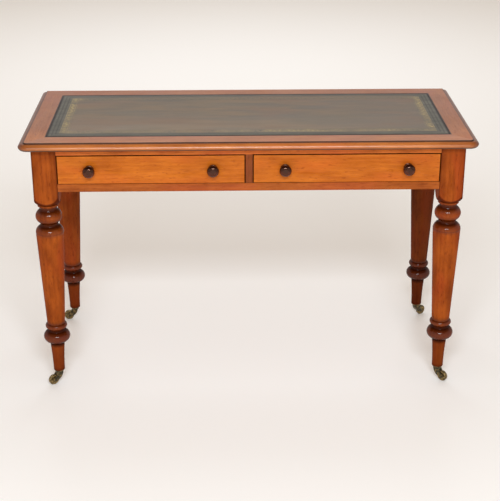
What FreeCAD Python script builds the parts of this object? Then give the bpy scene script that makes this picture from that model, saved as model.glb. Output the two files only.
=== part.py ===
"""Two-drawer mahogany writing table on turned legs with small brass castors.

Millimetres, +Z up, +X to the sitter's right, the sitter at -Y.  The origin is on the floor under
the middle of the top.  Every driving size is a named number in the sheet below, and each piece is
an object of the document whose sizes are bound to that sheet.
"""

import FreeCAD, Part
import math
import os
import Sketcher

doc = FreeCAD.newDocument("writing_table")

# Driving sizes, in millimetres, and angles, in degrees

SIZES = {
    # The whole table
    "desk_length": 1220.0,
    "desk_depth": 520.0,
    "desk_height": 740.0,
    "frieze_height": 122.0,
    # The top: four borders round a panel that carries the leather, with a thumb moulding along
    # the front and the ends and a plain back edge
    "top_thickness": 21.0,
    "top_corner_radius": 27.0,
    "mould_step_inset": 9.0,
    "mould_step_drop": 2.5,
    "mould_upper_radius": 15.0,
    "mould_lower_radius": 3.0,
    "border_end_width": 68.0,
    "border_front_width": 68.0,
    "border_back_width": 52.0,
    "leather_thickness": 1.2,
    "leather_gap": 0.15,
    "tongue_length": 8.0,
    "tongue_thickness": 6.0,
    # Legs: a square block over the turned part, sizes from the block down to the foot
    "leg_square": 67.0,
    "leg_side_inset": 63.5,
    "leg_front_inset": 63.5,
    "leg_back_inset": 43.5,
    "leg_corner_radius": 10.0,
    "block_below_rail": 44.0,
    "pommel_height": 24.0,
    "pommel_sag": 5.0,
    "pommel_end_radius": 30.0,
    "collar_radius": 28.5,
    "collar_height": 5.0,
    "upper_neck_height": 12.0,
    "upper_neck_radius": 26.0,
    "neck_hollow": 2.0,
    "knop_height": 36.0,
    "knop_radius": 36.0,
    "lower_neck_height": 10.0,
    "lower_neck_radius": 26.0,
    "shoulder_height": 18.0,
    "shoulder_radius": 38.3,
    "shoulder_sag": 3.0,
    "taper_end_radius": 24.9,
    "bead_height": 16.0,
    "bead_radius": 30.3,
    "ankle_height": 9.0,
    "ankle_radius": 24.5,
    "ankle_hollow": 1.5,
    "ball_height": 32.0,
    "ball_radius": 37.2,
    "ball_neck_radius": 25.5,
    "foot_step_height": 4.0,
    "foot_top_radius": 20.4,
    "foot_end_radius": 15.7,
    "foot_length": 88.0,
    "foot_sag": 1.0,
    # Rails and their joints
    "rail_setback": 1.0,
    "rail_thickness": 22.0,
    "top_rail_thickness": 19.0,
    "bottom_rail_thickness": 22.0,
    "tenon_length": 25.0,
    "tenon_thickness": 9.0,
    "tenon_shoulder": 14.0,
    "dovetail_length": 20.0,
    "dovetail_neck_width": 26.0,
    "dovetail_end_width": 36.0,
    "dovetail_thickness": 12.0,
    "stub_tenon_length": 9.0,
    "stub_tenon_width": 36.0,
    "joint_gap": 0.1,
    # Divider, runners, guides, kickers and stops
    "divider_width": 20.0,
    "runner_ledge_width": 18.0,
    "guide_height": 22.0,
    "stop_length": 40.0,
    "stop_width": 16.0,
    "stop_height": 4.5,
    "stop_spacing": 300.0,
    "stop_gap": 0.3,
    "glue_block_length": 40.0,
    "glue_block_side": 17.0,
    "glue_block_chamfer": 9.0,
    "glue_block_spacing": 210.0,
    # Screws up through the rails into the top
    "screw_diameter": 4.0,
    "screw_head_diameter": 8.0,
    "screw_head_height": 2.6,
    "screw_bite": 12.0,
    "rail_screw_inner": 130.0,
    "rail_screw_outer": 385.0,
    "rail_screw_setback": 20.0,
    "kicker_screw_setback": 95.0,
    # Drawers
    "drawer_back_gap": 16.0,
    "drawer_side_gap": 1.6,
    "drawer_foot_gap": 0.4,
    "drawer_top_gap": 2.2,
    "drawer_front_thickness": 19.0,
    "drawer_front_arris": 1.6,
    "drawer_side_thickness": 10.0,
    "drawer_back_thickness": 10.0,
    "drawer_back_drop": 5.0,
    "drawer_bottom_thickness": 6.0,
    "drawer_bottom_rise": 9.0,
    "drawer_groove_depth": 5.0,
    "tail_length": 13.0,
    "tail_flare": 2.2,
    "pin_width": 7.0,
    # Knobs
    "knob_spacing": 330.0,
    "knob_spigot_diameter": 10.0,
    "knob_spigot_length": 17.0,
    "knob_base_radius": 10.5,
    "knob_base_height": 2.5,
    "knob_neck_height": 10.0,
    "knob_neck_radius": 9.0,
    "knob_neck_hollow": 1.6,
    "knob_cheek_height": 18.0,
    "knob_head_radius": 16.5,
    "knob_cheek_sag": 2.4,
    "knob_height": 27.5,
    "knob_face_radius": 4.0,
    "knob_dome_sag": 2.6,
    # Castors
    "castor_height": 44.0,
    "castor_plate_diameter": 30.0,
    "castor_plate_thickness": 2.5,
    "castor_plate_edge": 0.8,
    "castor_stem_diameter": 8.0,
    "castor_stem_length": 36.0,
    "swivel_pin_diameter": 6.0,
    "swivel_rivet_diameter": 9.0,
    "swivel_rivet_thickness": 1.8,
    "swivel_face_gap": 0.2,
    "pin_gap": 0.05,
    "wheel_trail": 20.0,
    "wheel_diameter": 30.0,
    "wheel_width": 10.0,
    "wheel_edge_radius": 2.2,
    "wheel_face_recess": 1.2,
    "wheel_hub_radius": 5.0,
    "wheel_rim_inner_radius": 11.0,
    "wheel_side_gap": 0.3,
    "wheel_round_gap": 1.5,
    "axle_diameter": 4.0,
    "axle_overhang": 0.8,
    "horn_width": 16.0,
    "horn_collar_radius": 11.0,
    "horn_collar_height": 5.0,
    "horn_web_height": 8.5,
    "horn_back_wall": 4.0,
    "horn_boss_radius": 5.5,
    "horn_back_sag": 7.0,
    "horn_front_sag": 2.5,
    "castor_angle_front_left": 215.0,
    "castor_angle_front_right": 315.0,
    "castor_angle_back_left": 182.0,
    "castor_angle_back_right": 35.0,
    # How far a cutter runs past what it cuts
    "overrun": 1.0,
}

# A quarter circle stands this share of its radius off its chord
QUARTER_SAG_SHARE = 1 - 0.5 ** 0.5

# The corner of a square stands this many times its half side off its middle
DIAGONAL = 2 ** 0.5

# Dovetails at each corner of a drawer, each in the middle of its share of the height
TAILS = 3
HALF_SHARE = 0.5

# Where the boss round a castor's axle begins and ends, in degrees about the axle
BOSS_ANGLES = (-120, 45)

# Edges closer than this lie at the same place
TOUCHING = Part.Precision.confusion()

sheet = doc.addObject("Spreadsheet::Sheet", "sizes")
for row, (alias, value) in enumerate(SIZES.items(), start=1):
    sheet.set("A%d" % row, alias)
    sheet.set("B%d" % row, str(value))
    sheet.setAlias("B%d" % row, alias)
doc.recompute()


class Size:
    """A length that knows its value and the sheet expression that it is bound to."""

    def __init__(self, value, text):
        self.value = value
        self.text = text

    def combined(self, other, sign, value):
        text = other.text if isinstance(other, Size) else repr(other)
        return Size(value, "(%s %s %s)" % (self.text, sign, text))

    def __add__(self, other):
        return self.combined(other, "+", self.value + number(other))

    def __sub__(self, other):
        return self.combined(other, "-", self.value - number(other))

    def __mul__(self, other):
        return self.combined(other, "*", self.value * number(other))

    def __truediv__(self, other):
        return self.combined(other, "/", self.value / number(other))

    def __neg__(self):
        return Size(-self.value, "(-1 * %s)" % self.text)

    def __rmul__(self, other):
        return self * other


def number(item):
    return item.value if isinstance(item, Size) else item


class Sheet:
    """Gives each driving size by its name in the sheet."""

    def __getattr__(self, name):
        return Size(SIZES[name], "sizes." + name)


s = Sheet()
zero = Size(0.0, "0")


def bind(obj, prop, size):
    obj.setExpression(prop, size.text)


# Sketches and features

def new_body(label):
    body = doc.addObject("PartDesign::Body", label)
    body.Label = label
    return body


def new_sketch(body, name, role, offset=zero):
    """A sketch on one of the body's own planes, moved along that plane's normal."""
    sketch = body.newObject("Sketcher::SketchObject", name)
    origin_plane = [item for item in body.Origin.OriginFeatures if item.Role == role][0]
    sketch.AttachmentSupport = [(origin_plane, "")]
    sketch.MapMode = "FlatFace"
    bind(sketch, "AttachmentOffset.Base.z", offset)
    return sketch


def hold(sketch, joints, sizes):
    """Adds a sketch's joints and its dimensions, each bound to the sheet."""
    given = [Sketcher.Constraint(kind, *places, size.value) for kind, places, size in sizes]
    first = sketch.ConstraintCount + len(joints)
    sketch.addConstraint(joints + given)
    for index, (kind, places, size) in enumerate(sizes):
        sketch.setExpression("Constraints[%d]" % (first + index), size.text)


def arc_through(start, end, sag):
    """The arc whose middle stands sag to the right of the way from start to end.

    It runs counterclockwise, so where the sag is negative it runs from end to start.
    """
    across = FreeCAD.Vector(end.y - start.y, start.x - end.x, 0)
    across.normalize()
    middle = (start + end) * 0.5 + across * sag
    first, last = (start, end) if sag > 0 else (end, start)
    return Part.ArcOfCircle(first, middle, last)


def outline(sketch, points):
    """A closed outline.  A point is (x, y), or (x, y, sag) where an arc leads to it."""
    count = len(points)
    places = [FreeCAD.Vector(number(item[0]), number(item[1]), 0) for item in points]
    first = sketch.GeometryCount
    shapes = []
    ends = []
    for index in range(count):
        start = places[index - 1]
        end = places[index]
        if len(points[index]) == 3:
            sag = number(points[index][2])
            ends.append((1, 2) if sag > 0 else (2, 1))
            shapes.append(arc_through(start, end, sag))
        else:
            ends.append((1, 2))
            shapes.append(Part.LineSegment(start, end))
    sketch.addGeometry(shapes, False)
    joints = []
    sizes = []
    for index in range(count):
        after = (index + 1) % count
        geometry = first + index
        tip = ends[index][1]
        joints.append(Sketcher.Constraint("Coincident", geometry, tip, first + after, ends[after][0]))
        sizes.append(("DistanceX", (-1, 1, geometry, tip), points[index][0]))
        sizes.append(("DistanceY", (-1, 1, geometry, tip), points[index][1]))
        if len(points[index]) == 3:
            run = points[index][0] - points[index - 1][0]
            rise = points[index][1] - points[index - 1][1]
            sag = points[index][2]
            rim = sag if sag.value > 0 else -sag
            sizes.append(("Radius", (geometry,), (run * run + rise * rise) / (rim * 8) + rim / 2))
    hold(sketch, joints, sizes)


def rectangle(sketch, x0, y0, x1, y1):
    outline(sketch, [(x0, y0), (x1, y0), (x1, y1), (x0, y1)])


def circle(sketch, x, y, radius):
    index = sketch.GeometryCount
    middle = FreeCAD.Vector(number(x), number(y), 0)
    sketch.addGeometry(Part.Circle(middle, FreeCAD.Vector(0, 0, 1), radius.value), False)
    hold(sketch, [], [("DistanceX", (-1, 1, index, 3), x), ("DistanceY", (-1, 1, index, 3), y),
                      ("Radius", (index,), radius)])


def pad(body, name, sketch, length, backwards=False):
    feature = body.newObject("PartDesign::Pad", name)
    feature.Profile = sketch
    feature.Refine = False
    bind(feature, "Length", length)
    feature.Reversed = backwards
    return feature


def pocket(body, name, sketch, length):
    """Cuts along the sketch's normal, so the sketch lies where the cut begins."""
    feature = body.newObject("PartDesign::Pocket", name)
    feature.Profile = sketch
    feature.Refine = False
    bind(feature, "Length", length)
    feature.Reversed = True
    return feature


def spin(body, name, sketch, axis, kind="PartDesign::Revolution"):
    feature = body.newObject(kind, name)
    feature.Profile = sketch
    feature.Refine = False
    feature.ReferenceAxis = (sketch, [axis])
    feature.Angle = 360.0
    return feature


def place(obj, x, y, z):
    bind(obj, "Placement.Base.x", x)
    bind(obj, "Placement.Base.y", y)
    bind(obj, "Placement.Base.z", z)


# Plain timber pieces and round bars, as solids that are joined and cut

def bar(name, x0, y0, z0, x1, y1, z1):
    piece = doc.addObject("Part::Box", name)
    place(piece, x0, y0, z0)
    bind(piece, "Length", x1 - x0)
    bind(piece, "Width", y1 - y0)
    bind(piece, "Height", z1 - z0)
    return piece


def rod(name, x, y, z, radius, height):
    piece = doc.addObject("Part::Cylinder", name)
    place(piece, x, y, z)
    bind(piece, "Radius", radius)
    bind(piece, "Height", height)
    return piece


def joined(name, pieces):
    fused = doc.addObject("Part::MultiFuse", name)
    fused.Shapes = pieces
    return fused


def grouped(name, pieces):
    group = doc.addObject("Part::Compound", name)
    group.Links = pieces
    return group


def cut(name, base, tool):
    result = doc.addObject("Part::Cut", name)
    result.Base = base
    result.Tool = tool
    return result


NODES = []


def finish(obj, label):
    """Names a finished piece and puts it on the list of those to be written."""
    obj.Label = label
    NODES.append(obj)
    return obj


# Places that several pieces share

half_length = s.desk_length / 2
half_depth = s.desk_depth / 2
top_under = s.desk_height - s.top_thickness
rail_bottom = top_under - s.frieze_height
opening_top = top_under - s.top_rail_thickness
opening_bottom = rail_bottom + s.bottom_rail_thickness
block_bottom = rail_bottom - s.block_below_rail
half_square = s.leg_square / 2
leg_x = half_length - s.leg_side_inset
leg_y = {"front": s.leg_front_inset - half_depth, "back": half_depth - s.leg_back_inset}
leg_inner_x = leg_x - half_square
front_inner_y = leg_y["front"] + half_square
back_inner_y = leg_y["back"] - half_square
rail_face_y = leg_y["front"] - half_square + s.rail_setback
rail_outer_x = leg_x + half_square - s.rail_setback
rail_outer_y = leg_y["back"] + half_square - s.rail_setback
rail_inner_x = rail_outer_x - s.rail_thickness
rail_inner_y = rail_outer_y - s.rail_thickness
rail_middle_x = rail_outer_x - s.rail_thickness / 2
rail_middle_y = rail_outer_y - s.rail_thickness / 2
inner_x = half_length - s.border_end_width
inner_front_y = s.border_front_width - half_depth
inner_back_y = half_depth - s.border_back_width
half_divider = s.divider_width / 2
half_tenon = s.tenon_thickness / 2
front_rail_middle_y = (front_inner_y + rail_face_y) / 2
SIDES = (("left", -1), ("right", 1))
ENDS = (("front", -1), ("back", 1))


# The top

def moulded_frame():
    """The whole frame of the top with its moulded edge, before it is mitred into four borders."""
    body = new_body("moulded_frame")
    step = s.desk_height - s.mould_step_drop
    nose_level = step - s.mould_upper_radius
    lower = new_sketch(body, "frame_lower_outline", "XY_Plane", top_under)
    top_outline(lower, zero)
    panel_opening(lower)
    base = pad(body, "frame_lower", lower, s.top_thickness - s.mould_step_drop)
    for name, level, radius in (
        ("nose_upper", step, s.mould_upper_radius),
        ("nose_lower", top_under, s.mould_lower_radius),
    ):
        doc.recompute()
        rim = rim_edges(base, level.value)
        nose = body.newObject("PartDesign::Fillet", name)
        nose.Base = (base, rim)
        bind(nose, "Radius", radius)
        base = nose
    upper = new_sketch(body, "frame_upper_outline", "XY_Plane", nose_level)
    top_outline(upper, s.mould_step_inset)
    panel_opening(upper)
    pad(body, "frame_upper", upper, s.desk_height - nose_level)
    groove = new_sketch(body, "frame_groove_outline", "XY_Plane", tongue_bottom())
    rectangle(groove, -inner_x - s.tongue_length, inner_front_y - s.tongue_length,
              inner_x + s.tongue_length, inner_back_y + s.tongue_length)
    pocket(body, "frame_groove", groove, s.tongue_thickness)
    return body


def tongue_bottom():
    return top_under + (s.top_thickness - s.leather_thickness - s.tongue_thickness) / 2


def top_outline(sketch, inset):
    """The top's outline, set in at the front and the ends: round corners there, square ones behind."""
    radius = s.top_corner_radius - inset
    side = half_length - inset
    front = inset - half_depth
    sag = radius * QUARTER_SAG_SHARE
    outline(sketch, [
        (side - radius, front), (side, front + radius, sag), (side, half_depth),
        (-side, half_depth), (-side, front + radius), (radius - side, front, sag),
    ])


def panel_opening(sketch):
    rectangle(sketch, -inner_x, inner_front_y, inner_x, inner_back_y)


def rim_edges(feature, level):
    """The outer edges of a slab at one level, along its front and its ends."""
    names = []
    for index, edge in enumerate(feature.Shape.Edges, start=1):
        box = edge.BoundBox
        flat = abs(box.ZMin - level) < TOUCHING and abs(box.ZMax - level) < TOUCHING
        point = edge.valueAt((edge.FirstParameter + edge.LastParameter) / 2)
        beside = abs(point.x) > inner_x.value + TOUCHING
        before = point.y < inner_front_y.value - TOUCHING
        behind = point.y > half_depth.value - TOUCHING
        if flat and (beside or before) and not behind:
            names.append("Edge%d" % index)
    return names


def mitre_block(name, corners):
    body = new_body(name)
    sketch = new_sketch(body, name + "_outline", "XY_Plane", top_under - s.overrun)
    outline(sketch, corners)
    pad(body, name + "_pad", sketch, s.top_thickness + s.overrun * 2)
    return body


def top_pieces(bores):
    frame = moulded_frame()
    for name, sign, inner_y in (("front", -1, inner_front_y), ("back", 1, inner_back_y)):
        corners = [(-half_length, half_depth * sign), (half_length, half_depth * sign),
                   (inner_x, inner_y), (-inner_x, inner_y)]
        common = doc.addObject("Part::Common", "top_%s_border_whole" % name)
        common.Base = frame
        common.Tool = mitre_block("%s_mitres" % name, corners)
        finish(cut("top_%s_border" % name, common, bores), "top_%s_border" % name)
    for name, sign in SIDES:
        corners = [(half_length * sign, -half_depth), (half_length * sign, half_depth),
                   (inner_x * sign, inner_back_y), (inner_x * sign, inner_front_y)]
        common = doc.addObject("Part::Common", "top_%s_border" % name)
        common.Base = frame
        common.Tool = mitre_block("%s_mitres" % name, corners)
        finish(common, "top_%s_border" % name)
    gap = s.joint_gap
    panel = new_body("top_panel_whole")
    board = new_sketch(panel, "panel_outline", "XY_Plane", top_under)
    rectangle(board, -inner_x + gap, inner_front_y + gap, inner_x - gap, inner_back_y - gap)
    pad(panel, "panel_board", board, s.top_thickness - s.leather_thickness)
    tongue = new_sketch(panel, "panel_tongue_outline", "XY_Plane", tongue_bottom() + gap)
    reach = s.tongue_length - gap
    rectangle(tongue, -inner_x - reach, inner_front_y - reach,
              inner_x + reach, inner_back_y + reach)
    pad(panel, "panel_tongue", tongue, s.tongue_thickness - gap * 2)
    finish(cut("top_panel", panel, bores), "top_panel")
    leather = new_body("leather_inset")
    skin = new_sketch(leather, "leather_outline", "XY_Plane", s.desk_height - s.leather_thickness)
    gap = s.leather_gap
    rectangle(skin, -inner_x + gap, inner_front_y + gap, inner_x - gap, inner_back_y - gap)
    pad(leather, "leather_skin", skin, s.leather_thickness)
    finish(leather, "leather_inset")


# Legs, turned below a square block

def turned_outline():
    """Radius and height of the turned part from the foot's end up to the block's bottom."""
    foot_end = s.castor_height
    foot_top = foot_end + s.foot_length
    ball_bottom = foot_top + s.foot_step_height
    ball_top = ball_bottom + s.ball_height
    bead_bottom = ball_top + s.ankle_height
    bead_top = bead_bottom + s.bead_height
    collar_bottom = block_bottom - s.collar_height
    knop_top = collar_bottom - s.upper_neck_height
    knop_bottom = knop_top - s.knop_height
    lower_neck_bottom = knop_bottom - s.lower_neck_height
    shoulder = lower_neck_bottom - s.shoulder_height
    return [
        (zero, foot_end),
        (s.foot_end_radius, foot_end),
        (s.foot_top_radius, foot_top, -s.foot_sag),
        (s.ball_neck_radius, ball_bottom),
        (s.ball_neck_radius, ball_top, s.ball_radius - s.ball_neck_radius),
        (s.ankle_radius, ball_top),
        (s.ankle_radius, bead_bottom, -s.ankle_hollow),
        (s.ankle_radius, bead_top, s.bead_radius - s.ankle_radius),
        (s.taper_end_radius, bead_top),
        (s.shoulder_radius, shoulder),
        (s.lower_neck_radius, lower_neck_bottom, s.shoulder_sag),
        (s.lower_neck_radius, knop_bottom, -s.neck_hollow),
        (s.lower_neck_radius, knop_top, s.knop_radius - s.lower_neck_radius),
        (s.upper_neck_radius, collar_bottom, -s.neck_hollow),
        (s.collar_radius, collar_bottom),
        (s.collar_radius, block_bottom + s.overrun),
        (zero, block_bottom + s.overrun),
    ]


def leg(end, end_sign, side, side_sign):
    """One leg about its own axis.  The signs say which of its faces look outwards."""
    label = "leg_%s_%s" % (end, side)
    body = new_body(label)
    square = new_sketch(body, label + "_square", "XY_Plane", block_bottom)
    round_from = half_square - s.leg_corner_radius
    corner = [(half_square * x, half_square * y) for x, y in ((-1, -1), (1, -1), (1, 1), (-1, 1))]
    at = corner.index(next(item for item in corner
                           if item[0].value * side_sign > 0 and item[1].value * end_sign > 0))
    sag = s.leg_corner_radius * QUARTER_SAG_SHARE
    near = (half_square * side_sign, round_from * end_sign)
    far = (round_from * side_sign, half_square * end_sign)
    first, last = (near, far) if side_sign * end_sign > 0 else (far, near)
    outline(square, corner[:at] + [first, (last[0], last[1], sag)] + corner[at + 1:])
    pad(body, label + "_block", square, top_under - block_bottom)
    reach = s.leg_square
    pommel = new_sketch(body, label + "_pommel_outline", "XZ_Plane")
    outline(pommel, [
        (reach, block_bottom - s.overrun),
        (reach, block_bottom + s.pommel_height),
        (half_square * DIAGONAL, block_bottom + s.pommel_height),
        (s.pommel_end_radius, block_bottom, -s.pommel_sag),
        (s.pommel_end_radius, block_bottom - s.overrun),
    ])
    spin(body, label + "_pommel", pommel, "V_Axis", "PartDesign::Groove")
    turned = new_sketch(body, label + "_turned_outline", "XZ_Plane")
    outline(turned, turned_outline())
    spin(body, label + "_turned", turned, "V_Axis")
    stem = new_sketch(body, label + "_stem_outline", "XY_Plane", s.castor_height - s.overrun)
    circle(stem, zero, zero, s.castor_stem_diameter / 2 + s.joint_gap)
    pocket(body, label + "_stem_bore", stem, s.castor_stem_length + s.joint_gap + s.overrun)
    side_rail_mortice(body, label, end_sign, side_sign)
    if end == "front":
        front_rail_sockets(body, label, side_sign)
    else:
        back_rail_mortice(body, label, side_sign)
    place(body, leg_x * side_sign, leg_y[end], zero)
    finish(body, label)


def mortice_heights():
    gap = s.joint_gap
    return rail_bottom + s.tenon_shoulder - gap, top_under - s.tenon_shoulder + gap


def side_rail_mortice(body, label, end_sign, side_sign):
    """The side rail's tenon enters the leg's face that looks along the table's depth."""
    low, high = mortice_heights()
    middle = (rail_middle_x - leg_x) * side_sign
    reach = half_tenon + s.joint_gap
    depth = s.tenon_length + s.joint_gap + s.overrun
    sketch = new_sketch(body, label + "_side_mortice_outline", "XY_Plane", low)
    mouth = (half_square + s.overrun) * -end_sign
    rectangle(sketch, middle - reach, mouth, middle + reach, mouth + depth * end_sign)
    pocket(body, label + "_side_mortice", sketch, high - low)


def back_rail_mortice(body, label, side_sign):
    low, high = mortice_heights()
    middle = rail_middle_y - leg_y["back"]
    reach = half_tenon + s.joint_gap
    depth = s.tenon_length + s.joint_gap + s.overrun
    sketch = new_sketch(body, label + "_back_mortice_outline", "XY_Plane", low)
    mouth = (half_square + s.overrun) * -side_sign
    rectangle(sketch, mouth, middle - reach, mouth + depth * side_sign, middle + reach)
    pocket(body, label + "_back_mortice", sketch, high - low)


def front_rail_sockets(body, label, side_sign):
    """A mortice for the bottom rail and a dovetail socket, open above, for the top rail."""
    middle = front_rail_middle_y - leg_y["front"]
    gap = s.joint_gap
    mouth = (half_square + s.overrun) * -side_sign
    depth = s.tenon_length + gap + s.overrun
    reach = s.stub_tenon_width / 2 + gap
    low = opening_bottom - s.bottom_rail_thickness / 2 - half_tenon - gap
    sketch = new_sketch(body, label + "_bottom_mortice_outline", "XY_Plane", low)
    rectangle(sketch, mouth, middle - reach, mouth + depth * side_sign, middle + reach)
    pocket(body, label + "_bottom_mortice", sketch, s.tenon_thickness + gap * 2)
    socket = new_sketch(body, label + "_dovetail_outline", "XY_Plane",
                        top_under - s.dovetail_thickness - gap)
    outline(socket, dovetail(half_square * -side_sign, middle, side_sign, gap))
    pocket(body, label + "_dovetail", socket, s.dovetail_thickness + gap + s.overrun)


def dovetail(root_x, middle_y, sign, grow):
    """A tail from its root outwards along X, wider at its end."""
    neck = s.dovetail_neck_width / 2 + grow
    end = s.dovetail_end_width / 2 + grow
    tip = root_x + (s.dovetail_length + grow) * sign
    return [(root_x, middle_y - neck), (tip, middle_y - end),
            (tip, middle_y + end), (root_x, middle_y + neck)]


# Rails, divider and the drawers' ways

def side_rail(side, sign):
    name = "%s_side_rail" % side
    low = rail_bottom + s.tenon_shoulder
    high = top_under - s.tenon_shoulder
    near = rail_outer_x if sign < 0 else rail_inner_x
    far = rail_inner_x if sign < 0 else rail_outer_x
    board = bar(name + "_board", near * sign, front_inner_y, rail_bottom,
                far * sign, back_inner_y, top_under)
    tenons = bar(name + "_tenons",
                 rail_middle_x * sign - half_tenon, front_inner_y - s.tenon_length, low,
                 rail_middle_x * sign + half_tenon, back_inner_y + s.tenon_length, high)
    finish(joined(name, [board, tenons]), name)


def back_rail():
    low = rail_bottom + s.tenon_shoulder
    high = top_under - s.tenon_shoulder
    board = bar("back_rail_board", -leg_inner_x, rail_inner_y, rail_bottom,
                leg_inner_x, rail_outer_y, top_under)
    reach = leg_inner_x + s.tenon_length
    tenons = bar("back_rail_tenons", -reach, rail_middle_y - half_tenon, low,
                 reach, rail_middle_y + half_tenon, high)
    finish(joined("back_rail", [board, tenons]), "back_rail")


def front_rails(bores):
    """The rails above and below the drawers, each with a mortice for the divider's tenon."""
    reach = s.stub_tenon_width / 2
    middle = front_rail_middle_y
    gap = s.joint_gap
    board = bar("front_bottom_rail_board", -leg_inner_x, rail_face_y, rail_bottom,
                leg_inner_x, front_inner_y, opening_bottom)
    level = opening_bottom - s.bottom_rail_thickness / 2
    tenons = bar("front_bottom_rail_tenons",
                 -leg_inner_x - s.tenon_length, middle - reach, level - half_tenon,
                 leg_inner_x + s.tenon_length, middle + reach, level + half_tenon)
    mortice = bar("front_bottom_rail_mortice", -half_tenon - gap, middle - reach - gap,
                  opening_bottom - s.stub_tenon_length - gap,
                  half_tenon + gap, middle + reach + gap, opening_bottom + s.overrun)
    rail = cut("front_bottom_rail", joined("front_bottom_rail_whole", [board, tenons]), mortice)
    finish(rail, "front_bottom_rail")
    body = new_body("front_top_rail_whole")
    plan = new_sketch(body, "top_rail_outline", "XY_Plane", opening_top)
    rectangle(plan, -leg_inner_x, rail_face_y, leg_inner_x, front_inner_y)
    pad(body, "top_rail_board", plan, s.top_rail_thickness)
    for side, sign in SIDES:
        tail = new_sketch(body, "top_rail_%s_tail_outline" % side, "XY_Plane",
                          top_under - s.dovetail_thickness)
        outline(tail, dovetail(leg_inner_x * sign, middle, sign, zero))
        pad(body, "top_rail_%s_tail" % side, tail, s.dovetail_thickness)
    slot = new_sketch(body, "top_rail_mortice_outline", "XY_Plane", opening_top - s.overrun)
    rectangle(slot, -half_tenon - gap, middle - reach - gap,
              half_tenon + gap, middle + reach + gap)
    pocket(body, "top_rail_mortice", slot, s.stub_tenon_length + gap + s.overrun)
    finish(cut("front_top_rail", body, bores), "front_top_rail")


def drawer_divider():
    reach = s.stub_tenon_width / 2
    middle = front_rail_middle_y
    post = bar("divider_post", -half_divider, rail_face_y, opening_bottom,
               half_divider, front_inner_y, opening_top)
    tenons = bar("divider_tenons", -half_tenon, middle - reach,
                 opening_bottom - s.stub_tenon_length,
                 half_tenon, middle + reach, opening_top + s.stub_tenon_length)
    finish(joined("drawer_divider", [post, tenons]), "drawer_divider")


def end_way(label, sign, low, high):
    """A board along a side rail, notched round the back leg, that bears a drawer's side."""
    body = new_body(label)
    plan = new_sketch(body, label + "_outline", "XY_Plane", low)
    inside = leg_inner_x - s.runner_ledge_width
    outline(plan, [
        (rail_inner_x * sign, front_inner_y),
        (rail_inner_x * sign, back_inner_y),
        (leg_inner_x * sign, back_inner_y),
        (leg_inner_x * sign, rail_inner_y),
        (inside * sign, rail_inner_y),
        (inside * sign, front_inner_y),
    ])
    pad(body, label + "_board", plan, high - low)
    return body


def drawer_ways(bores):
    """Runners under the drawers, guides beside them and kickers above them."""
    reach = half_divider + s.runner_ledge_width
    for side, sign in SIDES:
        runner = end_way("%s_runner" % side, sign, rail_bottom, opening_bottom)
        finish(runner, "%s_runner" % side)
        kicker = end_way("%s_kicker_whole" % side, sign, opening_top, top_under)
        finish(cut("%s_kicker" % side, kicker, bores), "%s_kicker" % side)
        near = rail_inner_x if sign < 0 else leg_inner_x
        far = leg_inner_x if sign < 0 else rail_inner_x
        guide = bar("%s_guide" % side, near * sign, front_inner_y, opening_bottom,
                    far * sign, back_inner_y, opening_bottom + s.guide_height)
        finish(guide, "%s_guide" % side)
    finish(bar("centre_runner", -reach, front_inner_y, rail_bottom,
               reach, rail_inner_y, opening_bottom), "centre_runner")
    finish(bar("centre_guide", -half_divider, front_inner_y, opening_bottom,
               half_divider, rail_inner_y, opening_bottom + s.guide_height), "centre_guide")
    kicker = bar("centre_kicker_whole", -reach, front_inner_y, opening_top,
                 reach, rail_inner_y, top_under)
    finish(cut("centre_kicker", kicker, bores), "centre_kicker")


def drawer_middle(sign):
    return (leg_inner_x + half_divider) / 2 * sign


def stops_and_blocks():
    """Stops on the bottom rail behind the drawer fronts, and blocks rubbed in under the top."""
    stops = []
    face = rail_face_y + s.drawer_front_thickness + s.stop_gap
    for side, sign in SIDES:
        for end, place_sign in SIDES:
            middle = drawer_middle(sign) + s.stop_spacing / 2 * place_sign
            stops.append(bar("stop_%s_%s" % (side, end),
                             middle - s.stop_length / 2, face, opening_bottom,
                             middle + s.stop_length / 2, face + s.stop_width,
                             opening_bottom + s.stop_height))
    finish(grouped("drawer_stops", stops), "drawer_stops")
    blocks = []
    for side, sign in SIDES:
        for end, place_sign in SIDES:
            middle = drawer_middle(sign) + s.glue_block_spacing / 2 * place_sign
            for row, face_y, way in (("back", rail_inner_y, -1), ("front", front_inner_y, 1)):
                blocks.append(glue_block("block_%s_%s_%s" % (row, side, end), middle, face_y, way))
    finish(grouped("glue_blocks", blocks), "glue_blocks")


def glue_block(name, middle, face_y, way):
    """A block in the angle of a rail and the top, with its free corner taken off."""
    body = new_body(name)
    section = new_sketch(body, name + "_section", "YZ_Plane")
    side = s.glue_block_side
    slope = side - s.glue_block_chamfer
    outline(section, [
        (zero, zero), (side * way, zero), (side * way, -slope), (slope * way, -side), (zero, -side),
    ])
    pad(body, name + "_length", section, s.glue_block_length)
    place(body, middle - s.glue_block_length / 2, face_y, top_under)
    return body


# Screws that hold the top

def screw_places():
    """Each screw stands in the front rail or in a kicker."""
    row_y = rail_face_y + s.rail_screw_setback
    for sign in (-1, 1):
        yield s.rail_screw_inner * sign, row_y
        yield s.rail_screw_outer * sign, row_y
    kicker_y = rail_inner_y - s.kicker_screw_setback
    kicker_x = (rail_inner_x + leg_inner_x - s.runner_ledge_width) / 2
    for x in (-kicker_x, zero, kicker_x):
        yield x, kicker_y


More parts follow.
